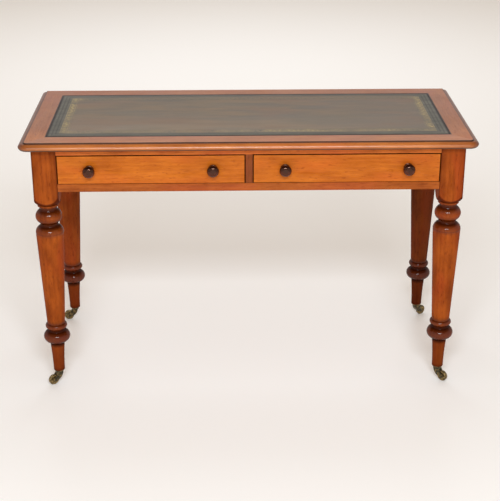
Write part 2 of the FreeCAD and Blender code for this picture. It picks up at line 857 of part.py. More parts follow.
def screws():
    """The screws themselves, and the bores that they need."""
    steel = []
    bores = []
    length = s.top_rail_thickness + s.screw_bite
    head = s.screw_head_diameter / 2
    for index, (x, y) in enumerate(screw_places(), start=1):
        shank_radius = s.screw_diameter / 2
        for group, name, grow in ((steel, "screw", zero), (bores, "bore", s.joint_gap)):
            shank = rod("%s_%d_shank" % (name, index), x, y, opening_top, shank_radius + grow,
                        length + grow)
            cone = doc.addObject("Part::Cone", "%s_%d_head" % (name, index))
            place(cone, x, y, opening_top)
            bind(cone, "Radius1", head + grow)
            bind(cone, "Radius2", shank_radius + grow)
            bind(cone, "Height", s.screw_head_height)
            group.append(joined("%s_%d" % (name, index), [shank, cone]))
    finish(grouped("top_screws", steel), "top_screws")
    return grouped("screw_bores", bores)


# Drawers

drawer_low = opening_bottom + s.drawer_foot_gap
drawer_high = opening_top - s.drawer_top_gap
drawer_face = rail_face_y
front_back = drawer_face + s.drawer_front_thickness
drawer_rear = rail_inner_y - s.drawer_back_gap
back_face = drawer_rear - s.drawer_back_thickness
back_top = drawer_high - s.drawer_back_drop
half_drawer = (leg_inner_x - half_divider) / 2 - s.drawer_side_gap
half_inside = half_drawer - s.drawer_side_thickness
board_low = drawer_low + s.drawer_bottom_rise
board_high = board_low + s.drawer_bottom_thickness


def tail_rows(low, high):
    """Middle heights of the tails between two heights, and half their width at the root."""
    pitch = (high - low) / TAILS
    half = (pitch - s.pin_width) / 2
    return [low + pitch * (row + HALF_SHARE) for row in range(TAILS)], half


def tail(root_y, way, length, middle, half, grow):
    """One dovetail of a drawer side in the plane of its depth and height."""
    root = half + grow
    end = half + s.tail_flare + grow
    tip = root_y + (length + grow) * way
    points = [(root_y, middle - root), (tip, middle - end),
              (tip, middle + end), (root_y, middle + root)]
    return points if way > 0 else points[::-1]


def drawer_side(drawer, middle_x, hand, sign):
    """A side with lapped tails into the front and through tails into the back."""
    label = "%s_drawer_%s_side" % (drawer, hand)
    body = new_body(label)
    plan = new_sketch(body, label + "_outline", "YZ_Plane")
    outline(plan, [
        (front_back, drawer_low), (drawer_rear, drawer_low), (drawer_rear, board_high),
        (back_face, board_high), (back_face, back_top), (drawer_rear, back_top),
        (drawer_rear, drawer_high), (front_back, drawer_high),
    ])
    pad(body, label + "_board", plan, s.drawer_side_thickness)
    tails = new_sketch(body, label + "_tails_outline", "YZ_Plane")
    rows, half = tail_rows(drawer_low, drawer_high)
    for middle in rows:
        outline(tails, tail(front_back, -1, s.tail_length, middle, half, zero))
    rows, half = tail_rows(board_high, back_top)
    for middle in rows:
        outline(tails, tail(back_face, 1, s.drawer_back_thickness, middle, half, zero))
    pad(body, label + "_tails", tails, s.drawer_side_thickness)
    groove = new_sketch(body, label + "_groove_outline", "XZ_Plane", -drawer_rear - s.overrun)
    inside = s.drawer_side_thickness if sign < 0 else zero
    depth = s.drawer_groove_depth * sign
    mouth = inside - s.overrun * sign
    rectangle(groove, mouth, board_low, inside + depth, board_high)
    length = drawer_rear + s.overrun - front_back + s.drawer_groove_depth + s.joint_gap
    pocket(body, label + "_groove", groove, length)
    outer = half_drawer if sign < 0 else half_inside
    place(body, middle_x + outer * sign, zero, zero)
    finish(body, label)


def drawer_front(drawer, middle_x):
    """The front with a rounded arris, sockets for the sides' tails, a groove and knob holes."""
    label = "%s_drawer_front" % drawer
    body = new_body(label)
    face = new_sketch(body, label + "_outline", "XZ_Plane", -front_back)
    rectangle(face, -half_drawer, drawer_low, half_drawer, drawer_high)
    board = pad(body, label + "_board", face, s.drawer_front_thickness)
    doc.recompute()
    arris = [
        "Edge%d" % index for index, edge in enumerate(board.Shape.Edges, start=1)
        if abs(edge.BoundBox.YMax - drawer_face.value) < TOUCHING
    ]
    rounding = body.newObject("PartDesign::Fillet", label + "_arris")
    rounding.Base = (board, arris)
    bind(rounding, "Radius", s.drawer_front_arris)
    gap = s.joint_gap
    rows, half = tail_rows(drawer_low, drawer_high)
    for hand, start in (("left", -half_drawer - s.overrun), ("right", half_inside - gap)):
        sockets = new_sketch(body, label + "_%s_sockets_outline" % hand, "YZ_Plane", start)
        for middle in rows:
            outline(sockets, tail(front_back + gap, -1, s.tail_length + gap, middle, half, gap))
        pocket(body, label + "_%s_sockets" % hand, sockets,
               s.drawer_side_thickness + gap + s.overrun)
    reach = half_inside + s.drawer_groove_depth
    groove = new_sketch(body, label + "_groove_outline", "YZ_Plane", -reach)
    rectangle(groove, front_back - s.drawer_groove_depth, board_low,
              front_back + s.overrun, board_high)
    pocket(body, label + "_groove", groove, reach * 2)
    holes = new_sketch(body, label + "_holes_outline", "XZ_Plane",
                       -drawer_face - s.knob_spigot_length - gap)
    for sign in (-1, 1):
        circle(holes, s.knob_spacing / 2 * sign, knob_height, s.knob_spigot_diameter / 2 + gap)
    pocket(body, label + "_holes", holes, s.knob_spigot_length + gap + s.overrun)
    place(body, middle_x, zero, zero)
    finish(body, label)


knob_height = (drawer_low + drawer_high) / 2


def drawer_back(drawer, middle_x):
    """The back board, which stands on the bottom, with the pins between the sides' tails."""
    label = "%s_drawer_back" % drawer
    body = new_body(label)
    core = new_sketch(body, label + "_outline", "YZ_Plane", -half_inside)
    rectangle(core, back_face, board_high, drawer_rear, back_top)
    pad(body, label + "_board", core, half_inside * 2)
    gap = s.joint_gap
    rows, half = tail_rows(board_high, back_top)
    root_edges = [board_high] + [edge for middle in rows
                                 for edge in (middle - half - gap, middle + half + gap)] + [back_top]
    flare = s.tail_flare
    for hand, start in (("left", -half_drawer), ("right", half_inside)):
        pins = new_sketch(body, label + "_%s_pins_outline" % hand, "YZ_Plane", start)
        for row in range(TAILS + 1):
            low = root_edges[row * 2]
            high = root_edges[row * 2 + 1]
            tip_low = low if row == 0 else low + flare
            tip_high = high if row == TAILS else high - flare
            outline(pins, [(back_face, low), (drawer_rear, tip_low),
                           (drawer_rear, tip_high), (back_face, high)])
        pad(body, label + "_%s_pins" % hand, pins, s.drawer_side_thickness)
    place(body, middle_x, zero, zero)
    finish(body, label)


def drawer_bottom(drawer, middle_x):
    gap = s.joint_gap
    reach = half_inside + s.drawer_groove_depth - gap
    front = front_back - s.drawer_groove_depth + gap
    label = "%s_drawer_bottom" % drawer
    finish(bar(label, middle_x - reach, front, board_low + gap,
               middle_x + reach, drawer_rear, board_high - gap), label)


def knob(drawer, middle_x, hand, sign):
    """A turned knob with a spigot glued into the drawer front."""
    label = "%s_drawer_%s_knob" % (drawer, hand)
    body = new_body(label)
    spigot = s.knob_spigot_diameter / 2
    turned = new_sketch(body, label + "_outline", "YZ_Plane")
    outline(turned, [
        (s.knob_spigot_length, zero),
        (s.knob_spigot_length, spigot),
        (zero, spigot),
        (zero, s.knob_base_radius),
        (-s.knob_base_height, s.knob_base_radius),
        (-s.knob_neck_height, s.knob_neck_radius, -s.knob_neck_hollow),
        (-s.knob_cheek_height, s.knob_head_radius, s.knob_cheek_sag),
        (-s.knob_height, s.knob_face_radius, s.knob_dome_sag),
        (-s.knob_height, zero),
    ])
    spin(body, label + "_turned", turned, "H_Axis")
    place(body, middle_x + s.knob_spacing / 2 * sign, drawer_face, knob_height)
    finish(body, label)


def drawer(name, sign):
    middle_x = drawer_middle(sign)
    drawer_front(name, middle_x)
    for hand, hand_sign in SIDES:
        drawer_side(name, middle_x, hand, hand_sign)
    drawer_back(name, middle_x)
    drawer_bottom(name, middle_x)
    for hand, hand_sign in SIDES:
        knob(name, middle_x, hand, hand_sign)


# Castors, each about its swivel axis with its wheel trailing along +X before it is turned

plate_under = s.castor_height - s.castor_plate_thickness
horn_top = plate_under - s.swivel_face_gap
web_bottom = horn_top - s.horn_web_height
rivet_top = web_bottom - s.swivel_face_gap
rivet_radius = s.swivel_rivet_diameter / 2
wheel_radius = s.wheel_diameter / 2
half_slot = s.wheel_width / 2 + s.wheel_side_gap
half_horn = s.horn_width / 2


def turn(body, angle):
    """Turns a piece about the vertical through its own origin."""
    body.Placement.Rotation = FreeCAD.Rotation(FreeCAD.Vector(0, 0, 1), angle.value)
    bind(body, "Placement.Rotation.Angle", angle)


def castor_plate(corner, x, y):
    """The plate under the foot with its stem above and its swivel pin, riveted over, below."""
    label = "castor_plate_%s" % corner
    body = new_body(label)
    pin = s.swivel_pin_diameter / 2
    stem = s.castor_stem_diameter / 2
    plate = s.castor_plate_diameter / 2
    edge = s.castor_plate_edge
    low = rivet_top - s.swivel_rivet_thickness
    section = new_sketch(body, label + "_outline", "XZ_Plane")
    outline(section, [
        (zero, low), (rivet_radius, low), (rivet_radius, rivet_top), (pin, rivet_top),
        (pin, plate_under), (plate - edge, plate_under), (plate, plate_under + edge),
        (plate, s.castor_height), (stem, s.castor_height),
        (stem, s.castor_height + s.castor_stem_length), (zero, s.castor_height + s.castor_stem_length),
    ])
    spin(body, label + "_turned", section, "V_Axis")
    place(body, x, y, zero)
    finish(body, label)


def castor_horn(corner, x, y, turned):
    """The swan-necked horn: a round collar over two cheeks that hold the wheel between them."""
    label = "castor_horn_%s" % corner
    body = new_body(label)
    axle_z = wheel_radius
    boss = s.horn_boss_radius
    back = rivet_radius + s.horn_back_wall
    shoulder = horn_top - s.horn_collar_height / 2
    cheek = new_sketch(body, label + "_cheek_outline", "XZ_Plane", -half_horn)
    start, end = (math.radians(angle) for angle in BOSS_ANGLES)
    outline(cheek, [
        (-back, shoulder),
        (s.wheel_trail + boss * math.cos(start), axle_z + boss * math.sin(start), s.horn_back_sag),
        (s.wheel_trail + boss * math.cos(end), axle_z + boss * math.sin(end),
         boss * (1 - math.cos((end - start) / 2))),
        (back, shoulder, -s.horn_front_sag),
    ])
    pad(body, label + "_cheeks", cheek, s.horn_width)
    collar = new_sketch(body, label + "_collar_outline", "XY_Plane",
                        horn_top - s.horn_collar_height)
    circle(collar, zero, zero, s.horn_collar_radius)
    pad(body, label + "_collar", collar, s.horn_collar_height)
    slot = new_sketch(body, label + "_slot_outline", "XZ_Plane", -half_slot)
    circle(slot, s.wheel_trail, axle_z, wheel_radius + s.wheel_round_gap)
    pocket(body, label + "_slot", slot, half_slot * 2)
    room = new_sketch(body, label + "_rivet_room_outline", "XZ_Plane", -half_slot)
    rectangle(room, -rivet_radius - s.wheel_side_gap, rivet_top - s.swivel_rivet_thickness
              - s.swivel_face_gap, s.wheel_trail, web_bottom)
    pocket(body, label + "_rivet_room", room, half_slot * 2)
    axle = new_sketch(body, label + "_axle_outline", "XZ_Plane", -half_horn - s.overrun)
    circle(axle, s.wheel_trail, axle_z, s.axle_diameter / 2 + s.pin_gap)
    pocket(body, label + "_axle_holes", axle, s.horn_width + s.overrun * 2)
    swivel = new_sketch(body, label + "_swivel_outline", "XY_Plane", web_bottom - s.overrun)
    circle(swivel, zero, zero, s.swivel_pin_diameter / 2 + s.pin_gap)
    pocket(body, label + "_swivel_hole", swivel, s.horn_web_height + s.overrun * 2)
    place(body, x, y, zero)
    turn(body, turned)
    finish(body, label)


def cosine(angle):
    return Size(math.cos(math.radians(angle.value)), "cos(%s * 1 deg)" % angle.text)


def sine(angle):
    return Size(math.sin(math.radians(angle.value)), "sin(%s * 1 deg)" % angle.text)


def at_axle(body, x, y, angle):
    """Places a round piece at the end of the castor's trail, with its axis along the axle."""
    place(body, x + s.wheel_trail * cosine(angle), y + s.wheel_trail * sine(angle), wheel_radius)
    turn(body, angle)


def axle_pin(corner, x, y, angle):
    label = "castor_axle_%s" % corner
    body = new_body(label)
    section = new_sketch(body, label + "_outline", "YZ_Plane")
    radius = s.axle_diameter / 2
    reach = half_horn + s.axle_overhang
    outline(section, [
        (reach, zero), (reach - s.axle_overhang, radius), (-reach + s.axle_overhang, radius),
        (-reach, zero),
    ])
    spin(body, label + "_turned", section, "H_Axis")
    at_axle(body, x, y, angle)
    finish(body, label)


def castor_wheel(corner, x, y, angle):
    """A brass wheel with a ring turned out of each face."""
    label = "castor_wheel_%s" % corner
    body = new_body(label)
    half = s.wheel_width / 2
    bore = s.axle_diameter / 2 + s.pin_gap
    edge = s.wheel_edge_radius
    sag = edge * QUARTER_SAG_SHARE
    floor = half - s.wheel_face_recess
    section = new_sketch(body, label + "_outline", "YZ_Plane")
    outline(section, [
        (half, bore), (half, s.wheel_hub_radius), (floor, s.wheel_hub_radius),
        (floor, s.wheel_rim_inner_radius), (half, s.wheel_rim_inner_radius),
        (half, wheel_radius - edge), (half - edge, wheel_radius, sag),
        (edge - half, wheel_radius), (-half, wheel_radius - edge, sag),
        (-half, s.wheel_rim_inner_radius), (-floor, s.wheel_rim_inner_radius),
        (-floor, s.wheel_hub_radius), (-half, s.wheel_hub_radius), (-half, bore),
    ])
    spin(body, label + "_turned", section, "H_Axis")
    at_axle(body, x, y, angle)
    finish(body, label)


def castor(end, side, side_sign):
    corner = "%s_%s" % (end, side)
    angle = getattr(s, "castor_angle_%s" % corner)
    x = leg_x * side_sign
    y = leg_y[end]
    castor_plate(corner, x, y)
    castor_horn(corner, x, y, angle)
    axle_pin(corner, x, y, angle)
    castor_wheel(corner, x, y, angle)


def build():
    bores = screws()
    top_pieces(bores)
    for end, end_sign in ENDS:
        for side, side_sign in SIDES:
            leg(end, end_sign, side, side_sign)
    for side, sign in SIDES:
        side_rail(side, sign)
    back_rail()
    front_rails(bores)
    drawer_divider()
    drawer_ways(bores)
    stops_and_blocks()
    for side, sign in SIDES:
        drawer(side, sign)
    for end in leg_y:
        for side, side_sign in SIDES:
            castor(end, side, side_sign)


build()
doc.recompute()
failed = [item.Name for item in doc.Objects if "Invalid" in item.State or "Error" in item.State]
if failed:
    raise RuntimeError("objects that failed: %s" % failed)
os.makedirs("parts", exist_ok=True)
for node in NODES:
    shape = node.Shape
    if shape.isNull() or not shape.isValid():
        raise RuntimeError("%s has no valid shape" % node.Label)
    shape.exportStep("parts/%s.step" % node.Label)
    print("%-28s solids %2d volume %12.1f" % (node.Label, len(shape.Solids), shape.Volume))
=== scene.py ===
"""A mahogany writing table with two drawers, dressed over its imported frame.

Laid out as an add-on: settings for sizes, finishes and light, one operator for each group of
pieces and one for the stage, and a panel that lists them.  Run as a script, it makes everything.
"""

import math

import bmesh
import bpy
from bpy.props import FloatProperty, FloatVectorProperty, IntProperty, PointerProperty
from mathutils import Matrix, Vector


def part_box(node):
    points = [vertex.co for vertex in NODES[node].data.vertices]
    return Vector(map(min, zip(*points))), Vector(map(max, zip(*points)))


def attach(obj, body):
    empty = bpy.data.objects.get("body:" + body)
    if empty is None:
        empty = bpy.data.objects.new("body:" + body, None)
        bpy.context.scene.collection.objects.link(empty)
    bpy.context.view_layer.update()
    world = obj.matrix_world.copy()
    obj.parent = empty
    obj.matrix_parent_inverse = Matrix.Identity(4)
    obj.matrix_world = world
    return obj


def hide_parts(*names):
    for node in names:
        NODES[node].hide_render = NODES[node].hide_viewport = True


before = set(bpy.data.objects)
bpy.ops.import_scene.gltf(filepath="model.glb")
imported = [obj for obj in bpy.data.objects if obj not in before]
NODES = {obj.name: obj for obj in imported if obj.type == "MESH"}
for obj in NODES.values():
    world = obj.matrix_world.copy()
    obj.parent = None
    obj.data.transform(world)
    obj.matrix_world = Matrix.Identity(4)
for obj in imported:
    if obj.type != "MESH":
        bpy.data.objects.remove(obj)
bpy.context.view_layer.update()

bl_info = {
    "name": "Mahogany Writing Table",
    "version": (1, 0, 0),
    "blender": (4, 5, 0),
    "location": "3D View > Sidebar > Writing Table",
    "description": "Dresses a two-drawer writing table with its turned, moulded and tooled pieces",
    "category": "Object",
}

CARCASS = "carcass"
CORNERS = ("front_left", "front_right", "back_left", "back_right")
DRAWERS = ("left", "right")

# Corners of the top and of its leather, and the widths of the borders, in metres
TOP_LOW = Vector((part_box("top_left_border")[0].x, *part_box("top_front_border")[0].yz))
TOP_HIGH = Vector((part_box("top_right_border")[1].x, *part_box("top_back_border")[1].yz))
LEATHER_LOW, LEATHER_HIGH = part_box("leather_inset")
LEATHER_GAP = 0.00015
BORDER_END = LEATHER_LOW.x - TOP_LOW.x - LEATHER_GAP
BORDER_FRONT = LEATHER_LOW.y - TOP_LOW.y - LEATHER_GAP
BORDER_BACK = TOP_HIGH.y - LEATHER_HIGH.y - LEATHER_GAP
# The gaps round the drawers, and what shows in them, lie between these levels
GAP_REACH = 0.003
GAPS_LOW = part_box("left_drawer_front")[0].z - GAP_REACH
GAPS_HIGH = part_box("left_drawer_front")[1].z + GAP_REACH


# Settings

def length(name, description, default):
    """A length setting whose default is given in millimetres."""
    return FloatProperty(name=name, description=description, default=default / 1000,
                         unit="LENGTH", subtype="DISTANCE", precision=4)


def colour(name, description, red, green, blue):
    """A colour setting whose default is given as it looks on a screen, from 0 to 255."""
    linear = [(c / 255 / 12.92) if c <= 10 else ((c / 255 + 0.055) / 1.055) ** 2.4
              for c in (red, green, blue)]
    return FloatVectorProperty(name=name, description=description, default=linear,
                               size=3, min=0, max=1, subtype="COLOR")


def share(name, description, default):
    """A setting from 0 to 1."""
    return FloatProperty(name=name, description=description, default=default, min=0, max=1,
                         subtype="FACTOR")


def watts(name, description, default):
    """The power of a lamp."""
    return FloatProperty(name=name, description=description + ", in watts", default=default,
                         min=0, max=2000, unit="POWER")


class WritingTableSizes(bpy.types.PropertyGroup):
    """Sizes of the details that the frame leaves to the finish."""
    arris: length("Arris", "Width of the worn edges of rails and drawers", 0.7)
    moulding_ease: length("Moulding ease", "Rounding of the moulding's sharp lines", 0.5)
    turning_ease: length("Turning ease", "Rounding of the turnings' sharp lines", 0.5)
    brass_ease: length("Brass ease", "Rounding of the castors' edges", 0.35)
    turning_facets: IntProperty(name="Turning facets", description="Faces round each turned piece",
                                default=128, min=24, max=256)
    skin_dip: length("Leather dip", "How far the leather lies under the top of its borders", 0.12)
    tooling_inset: length("Tooling inset", "From the leather's edge to the outer gilt line", 33.0)
    tooling_width: length("Tooling width", "Between the two gilt lines", 17.0)
    tooling_pitch: length("Tooling pitch", "Length of one repeat of the gilt roll", 13.0)
    gilt_line: length("Gilt line", "Width of a gilt line", 1.1)


class WritingTableFinishes(bpy.types.PropertyGroup):
    """Colours and polish of the woods, the leather and the brass."""
    top_light: colour("Top, light", "Light streaks of the moulded borders", 196, 117, 54)
    top_dark: colour("Top, dark", "Dark streaks of the moulded borders", 158, 84, 30)
    drawer_light: colour("Drawer, light", "Light streaks of the drawer fronts", 200, 110, 34)
    drawer_dark: colour("Drawer, dark", "Dark streaks of the drawer fronts", 146, 68, 12)
    rail_light: colour("Rail, light", "Light streaks of the rails", 173, 92, 37)
    rail_dark: colour("Rail, dark", "Dark streaks of the rails", 124, 56, 17)
    post_light: colour("Post, light", "Light streaks of the post between the drawers", 140, 73, 34)
    post_dark: colour("Post, dark", "Dark streaks of the post between the drawers", 104, 49, 21)
    leg_light: colour("Leg, light", "Light streaks of the legs", 163, 79, 25)
    leg_dark: colour("Leg, dark", "Dark streaks of the legs", 108, 43, 8)
    # This colour also serves as a painted shade on the tops of the turnings and at the blocks'
    # corners
    stain: colour("Stain", "Old dark polish on the turnings", 66, 18, 3)
    # This colour also serves as a painted shade in hollows, in the gaps round the drawers and under
    # the nose and blocks
    shade_and_grime: colour("Grime", "Old wax and dust in the hollows", 34, 8, 1)
    knob: colour("Knob", "Dark wood of the knobs", 77, 27, 10)
    leather: colour("Leather", "Worn middle of the leather", 120, 105, 90)
    leather_band: colour("Leather border", "Less worn border of the leather", 92, 89, 80)
    gilt: colour("Gilt", "Gold leaf of the tooling", 184, 164, 112)
    brass: colour("Brass", "Rubbed brass of the castors", 168, 141, 92)
    patina: colour("Patina", "Tarnish of the castors", 40, 38, 26)
    steel: colour("Steel", "Screws", 120, 116, 110)
    carcass: colour("Carcass wood", "Runners, kickers and blocks", 164, 122, 76)
    lining: colour("Drawer lining", "Sides, backs and bottoms of the drawers", 176, 130, 78)
    polish: share("Polish", "Roughness of the polished wood", 0.32)
    floor: colour("Floor", "Studio floor", 252, 251, 251)


class WritingTableStudio(bpy.types.PropertyGroup):
    """Light levels of the studio."""
    room: FloatProperty(name="Room light", description="Even light from all round", default=0.5,
                        min=0, max=2)
    key: watts("Key light", "Soft light above the camera", 95)
    fill: watts("Fill light", "Broad low light from the front", 118)
    back: watts("Back light", "Broad light on the floor behind", 66)
    lens: FloatProperty(name="Lens", description="Focal length of the camera", default=87.48,
                        min=20, max=200, unit="CAMERA")


# Finishes

class Nodes:
    """A node tree, joined up step by step."""

    def __init__(self, tree):
        self.tree = tree

    def node(self, kind, feeds=None, **settings):
        """A new node with its settings, and its inputs fed with numbers, colours or outputs."""
        node = self.tree.nodes.new("ShaderNode" + kind)
        for key, value in settings.items():
            setattr(node, key, value)
        for key, value in (feeds or {}).items():
            self.feed(node.inputs[key], value)
        return node

    def feed(self, socket, value):
        if isinstance(value, bpy.types.NodeSocket):
            self.tree.links.new(value, socket)
        else:
            socket.default_value = value

    def sum(self, operation, *terms, clamp=False):
        """One step of arithmetic, named as the node names it."""
        return self.node("Math", dict(enumerate(terms)), operation=operation,
                         use_clamp=clamp).outputs[0]

    def vector(self, operation, *terms):
        return self.node("VectorMath", dict(enumerate(terms)), operation=operation).outputs[0]

    def mix(self, factor, first, second):
        """The first colour at a factor of 0, and the second at 1."""
        node = self.node("Mix", {0: factor, 6: first, 7: second}, data_type="RGBA")
        return node.outputs[2]

    def spread(self, value, low, high, new_low=0.0, new_high=1.0):
        """A value between low and high, carried smoothly onto another range."""
        feeds = {0: value, 1: low, 2: high, 3: new_low, 4: new_high}
        return self.node("MapRange", feeds, interpolation_type="SMOOTHSTEP").outputs[0]


class Finish(Nodes):
    """One finish: noises and painted layers that feed its shader."""

    def __init__(self, name):
        self.material = bpy.data.materials.new(name)
        self.material.use_nodes = True
        super().__init__(self.material.node_tree)
        self.shader = self.tree.nodes["Principled BSDF"]
        self.where = self.node("TexCoord").outputs["Object"]

    def set(self, **values):
        """Feeds the shader's own inputs."""
        for key, value in values.items():
            self.feed(self.shader.inputs[key.replace("_", " ")], value)

    def placed(self, vector, scale=(1, 1, 1), turn=(0, 0, 0), move=(0, 0, 0)):
        feeds = {"Vector": vector, "Scale": scale, "Rotation": turn, "Location": move}
        return self.node("Mapping", feeds).outputs[0]

    def noise(self, vector, scale, detail=2.0, roughness=0.5, out="Fac"):
        feeds = {"Vector": vector, "Scale": scale, "Detail": detail, "Roughness": roughness}
        return self.node("TexNoise", feeds).outputs[out]

    def drawn(self, vector, scale, detail=2.0, roughness=0.5, out="Fac", **placing):
        """Noise drawn out along an axis: its scale says how fine it is along each."""
        return self.noise(self.placed(vector, scale, **placing), 1.0, detail, roughness, out)

    def painted(self, name):
        return self.node("Attribute", attribute_name=name).outputs["Fac"]

    def covered(self, name):
        """How far a painted layer hides what lies under it."""
        return self.sum("MULTIPLY", self.painted(name), 0.9, clamp=True)

    def bump(self, height, distance, strength=1.0, under=None):
        feeds = {"Height": height, "Distance": distance, "Strength": strength}
        if under is not None:
            feeds["Normal"] = under
        return self.node("Bump", feeds).outputs[0]


def opaque(value):
    """A colour as the nodes take it."""
    return (*value, 1.0)


def tinted(base, *by):
    """A colour multiplied by one number, or by its own number for red, green and blue."""
    return opaque([c * f for c, f in zip(base, by if len(by) == 3 else by * 3)])


# What knobs darken to upwards and their painted shade and soiling in hollows, the tint of their
# reflections, and rust on the screws
KNOB_TOP_DARK, KNOB_SHADE_AND_DIRT = (0.008, 0.002, 0.0015), (0.006, 0.0015, 0.001)
KNOB_SHEEN = (1.0, 0.34, 0.14)
RUST = (0.09, 0.045, 0.025)
# The turn that carries each direction of the grain to X
GRAIN_TURNS = {"X": (0, 0, 0), "Y": (0, 0, -math.pi / 2), "Z": (0, math.pi / 2, 0)}


def bare_wood(finish, along, light, dark, figure, streak):
    """Colour of wood whose grain runs along X, with its fibres and its open pores.

    Figure is the strength of the mottling and streak that of the long lines.
    """
    waver = finish.drawn(along, (2.2, 9, 9), out="Color")
    bent = finish.vector("MULTIPLY_ADD", waver, (0.0, 0.018, 0.018), along)
    bands = finish.drawn(bent, (1.1, 46, 46), 3.0, 0.55)
    rings = finish.node("TexWave", {
        "Vector": finish.placed(bent, (0.35, 1, 1), move=(0, 0.11, 0.06)), "Scale": 26.0,
        "Distortion": 2.2, "Detail": 2.0, "Detail Scale": 1.4},
        wave_type="RINGS", rings_direction="X").outputs["Fac"]
    mottle = finish.drawn(bent, (13, 27, 27), 3.0, 0.55)
    fibres = finish.drawn(bent, (9, 420, 420), 3.0, 0.6)
    flecks = finish.drawn(bent, (38, 1500, 1500), 1.0)
    lines = finish.drawn(bent, (11, 210, 210), 3.0, 0.7)
    tone = 0.5 - 0.8 * streak - 0.73 * figure
    for layer, strength in ((bands, 0.9 * streak), (rings, 0.1 * figure),
                            (mottle, 1.36 * figure), (lines, 1.1 * streak)):
        tone = finish.sum("MULTIPLY_ADD", layer, strength, tone)
    tone = finish.sum("SUBTRACT", tone, 0.2 * streak, clamp=True)
    plain = finish.mix(tone, opaque(dark), opaque(light))
    patches = finish.drawn(bent, (5, 16, 16), move=(3, 1, 2))
    ground = finish.mix(finish.spread(patches, 0.45, 0.68, 0.0, 0.5 * figure), plain,
                        tinted(light, 0.86, 0.6, 0.9))
    specks = finish.drawn(bent, (55, 190, 190), move=(7, 3, 5))
    ground = finish.mix(finish.spread(specks, 0.6, 0.76, 0.0, 0.45), ground,
                        tinted(dark, 0.6, 0.4, 0.5))
    pores = finish.spread(flecks, 0.6, 0.74)
    shade = finish.mix(finish.sum("MULTIPLY", pores, 0.45), ground, tinted(dark, 0.35))
    return shade, fibres, pores


def wood(name, light, dark, grain, seed, polish, coat=0.2, figure=1.0, streak=1.0, specular=0.0,
         coat_roughness=0.16):
    """Polished wood with its grain along one direction.

    The painted layers darken it (stain: old polish and a painted shade;
    hollow: a painted shade and soiling), wear it pale (arris: wear, and on the up-facing
    edges round the drawers a painted highlight) and take its gloss away (hollow, dull).
    """
    finish = Finish("%s_%s_%d" % (name, grain.lower(), round(seed * 10)))
    finishes = bpy.context.scene.writing_table_finishes
    along = finish.placed(finish.where, turn=GRAIN_TURNS[grain],
                          move=(seed, seed * 0.37, seed * 0.61))
    shade, fibres, pores = bare_wood(finish, along, light, dark, figure, streak)
    # Old polish, and on the legs a painted shade on the tops of turnings and round the blocks
    stained_and_shaded = finish.mix(finish.covered("stain"), shade, opaque(finishes.stain))
    # Pale worn edges; on the up-facing edges round the drawers also a painted highlight
    worn = finish.mix(finish.sum("MULTIPLY", finish.painted("arris"), 0.45), stained_and_shaded,
                      opaque([min(1, c * 1.5 + 0.01) for c in light]))
    hollow = finish.covered("hollow")
    # Painted shade and soiling in hollows, in the drawer gaps and under edges
    darkened = finish.mix(hollow, worn, opaque(finishes.shade_and_grime))
    gloss = finish.sum("MULTIPLY_ADD", fibres, 0.16, polish - 0.08)
    gloss = finish.sum("MULTIPLY_ADD", pores, 0.15, gloss)
    smears = finish.noise(finish.placed(finish.where, move=(seed, 1, 2)), 9.0, 3.0)
    gloss = finish.sum("MULTIPLY_ADD", smears, 0.16, finish.sum("SUBTRACT", gloss, 0.08))
    relief = finish.sum("SUBTRACT", fibres, finish.sum("MULTIPLY", pores, 0.7))
    clean = finish.sum("SUBTRACT", 1.0, finish.sum("MAXIMUM", hollow, finish.painted("dull")))
    finish.set(Base_Color=darkened, Roughness=gloss, Specular_IOR_Level=specular,
               Coat_Weight=finish.sum("MULTIPLY", clean, coat), Coat_Roughness=coat_roughness,
               Coat_IOR=1.5, Normal=finish.bump(relief, 0.00012, 0.35))
    return finish.material


def knob_wood():
    """Dark glossy wood, a faint red streak, darker upwards, painted shade and soiling in hollows.
    """
    finish = Finish("knob_wood")
    base = bpy.context.scene.writing_table_finishes.knob
    streak = finish.drawn(finish.where, (260, 50, 260), 3.0)
    cloud = finish.noise(finish.where, 60.0)
    tone = finish.mix(finish.spread(streak, 0.35, 0.7), tinted(base, 0.5), tinted(base, 1.4))
    shaded = finish.mix(finish.covered("stain"), tone, opaque(KNOB_TOP_DARK))
    darkened = finish.mix(finish.covered("hollow"), shaded, opaque(KNOB_SHADE_AND_DIRT))
    finish.set(Base_Color=darkened, Roughness=finish.sum("MULTIPLY_ADD", cloud, 0.12, 0.16),
               Specular_IOR_Level=0.5, Specular_Tint=opaque(KNOB_SHEEN), Coat_Weight=0.34,
               Coat_Roughness=0.1, Normal=finish.bump(streak, 0.00008, 0.3))
    return finish.material


def plain_wood(name, tone, grain, seed):
    """Unpolished board: fine grain, dust and a dry surface."""
    finish = Finish("%s_%s_%d" % (name, grain.lower(), round(seed * 10)))
    along = finish.placed(finish.where, turn=GRAIN_TURNS[grain],
                          move=(seed, seed * 0.4, seed * 0.7))
    waver = finish.drawn(along, (2, 7, 7), out="Color")
    bent = finish.vector("MULTIPLY_ADD", waver, (0.0, 0.02, 0.02), along)
    bands = finish.drawn(bent, (1.3, 60, 60), 4.0, 0.6)
    fibres = finish.drawn(bent, (12, 500, 500))
    dust = finish.noise(finish.where, 7.0, 4.0)
    ground = finish.mix(finish.spread(bands, 0.3, 0.7), tinted(tone, 0.55),
                        opaque([min(1, c * 1.15) for c in tone]))
    lined = finish.mix(finish.spread(fibres, 0.5, 0.75, 0.0, 0.4), ground, tinted(tone, 0.4))
    darkened = finish.mix(finish.spread(dust, 0.45, 0.75, 0.0, 0.45), lined, tinted(tone, 0.45))
    finish.set(Base_Color=darkened, Roughness=finish.sum("MULTIPLY_ADD", fibres, 0.15, 0.6),
               Normal=finish.bump(fibres, 0.0002, 0.5))
    return finish.material


# Blind lines pressed into each metre of the leather's border
BLIND_LINES = 105.0


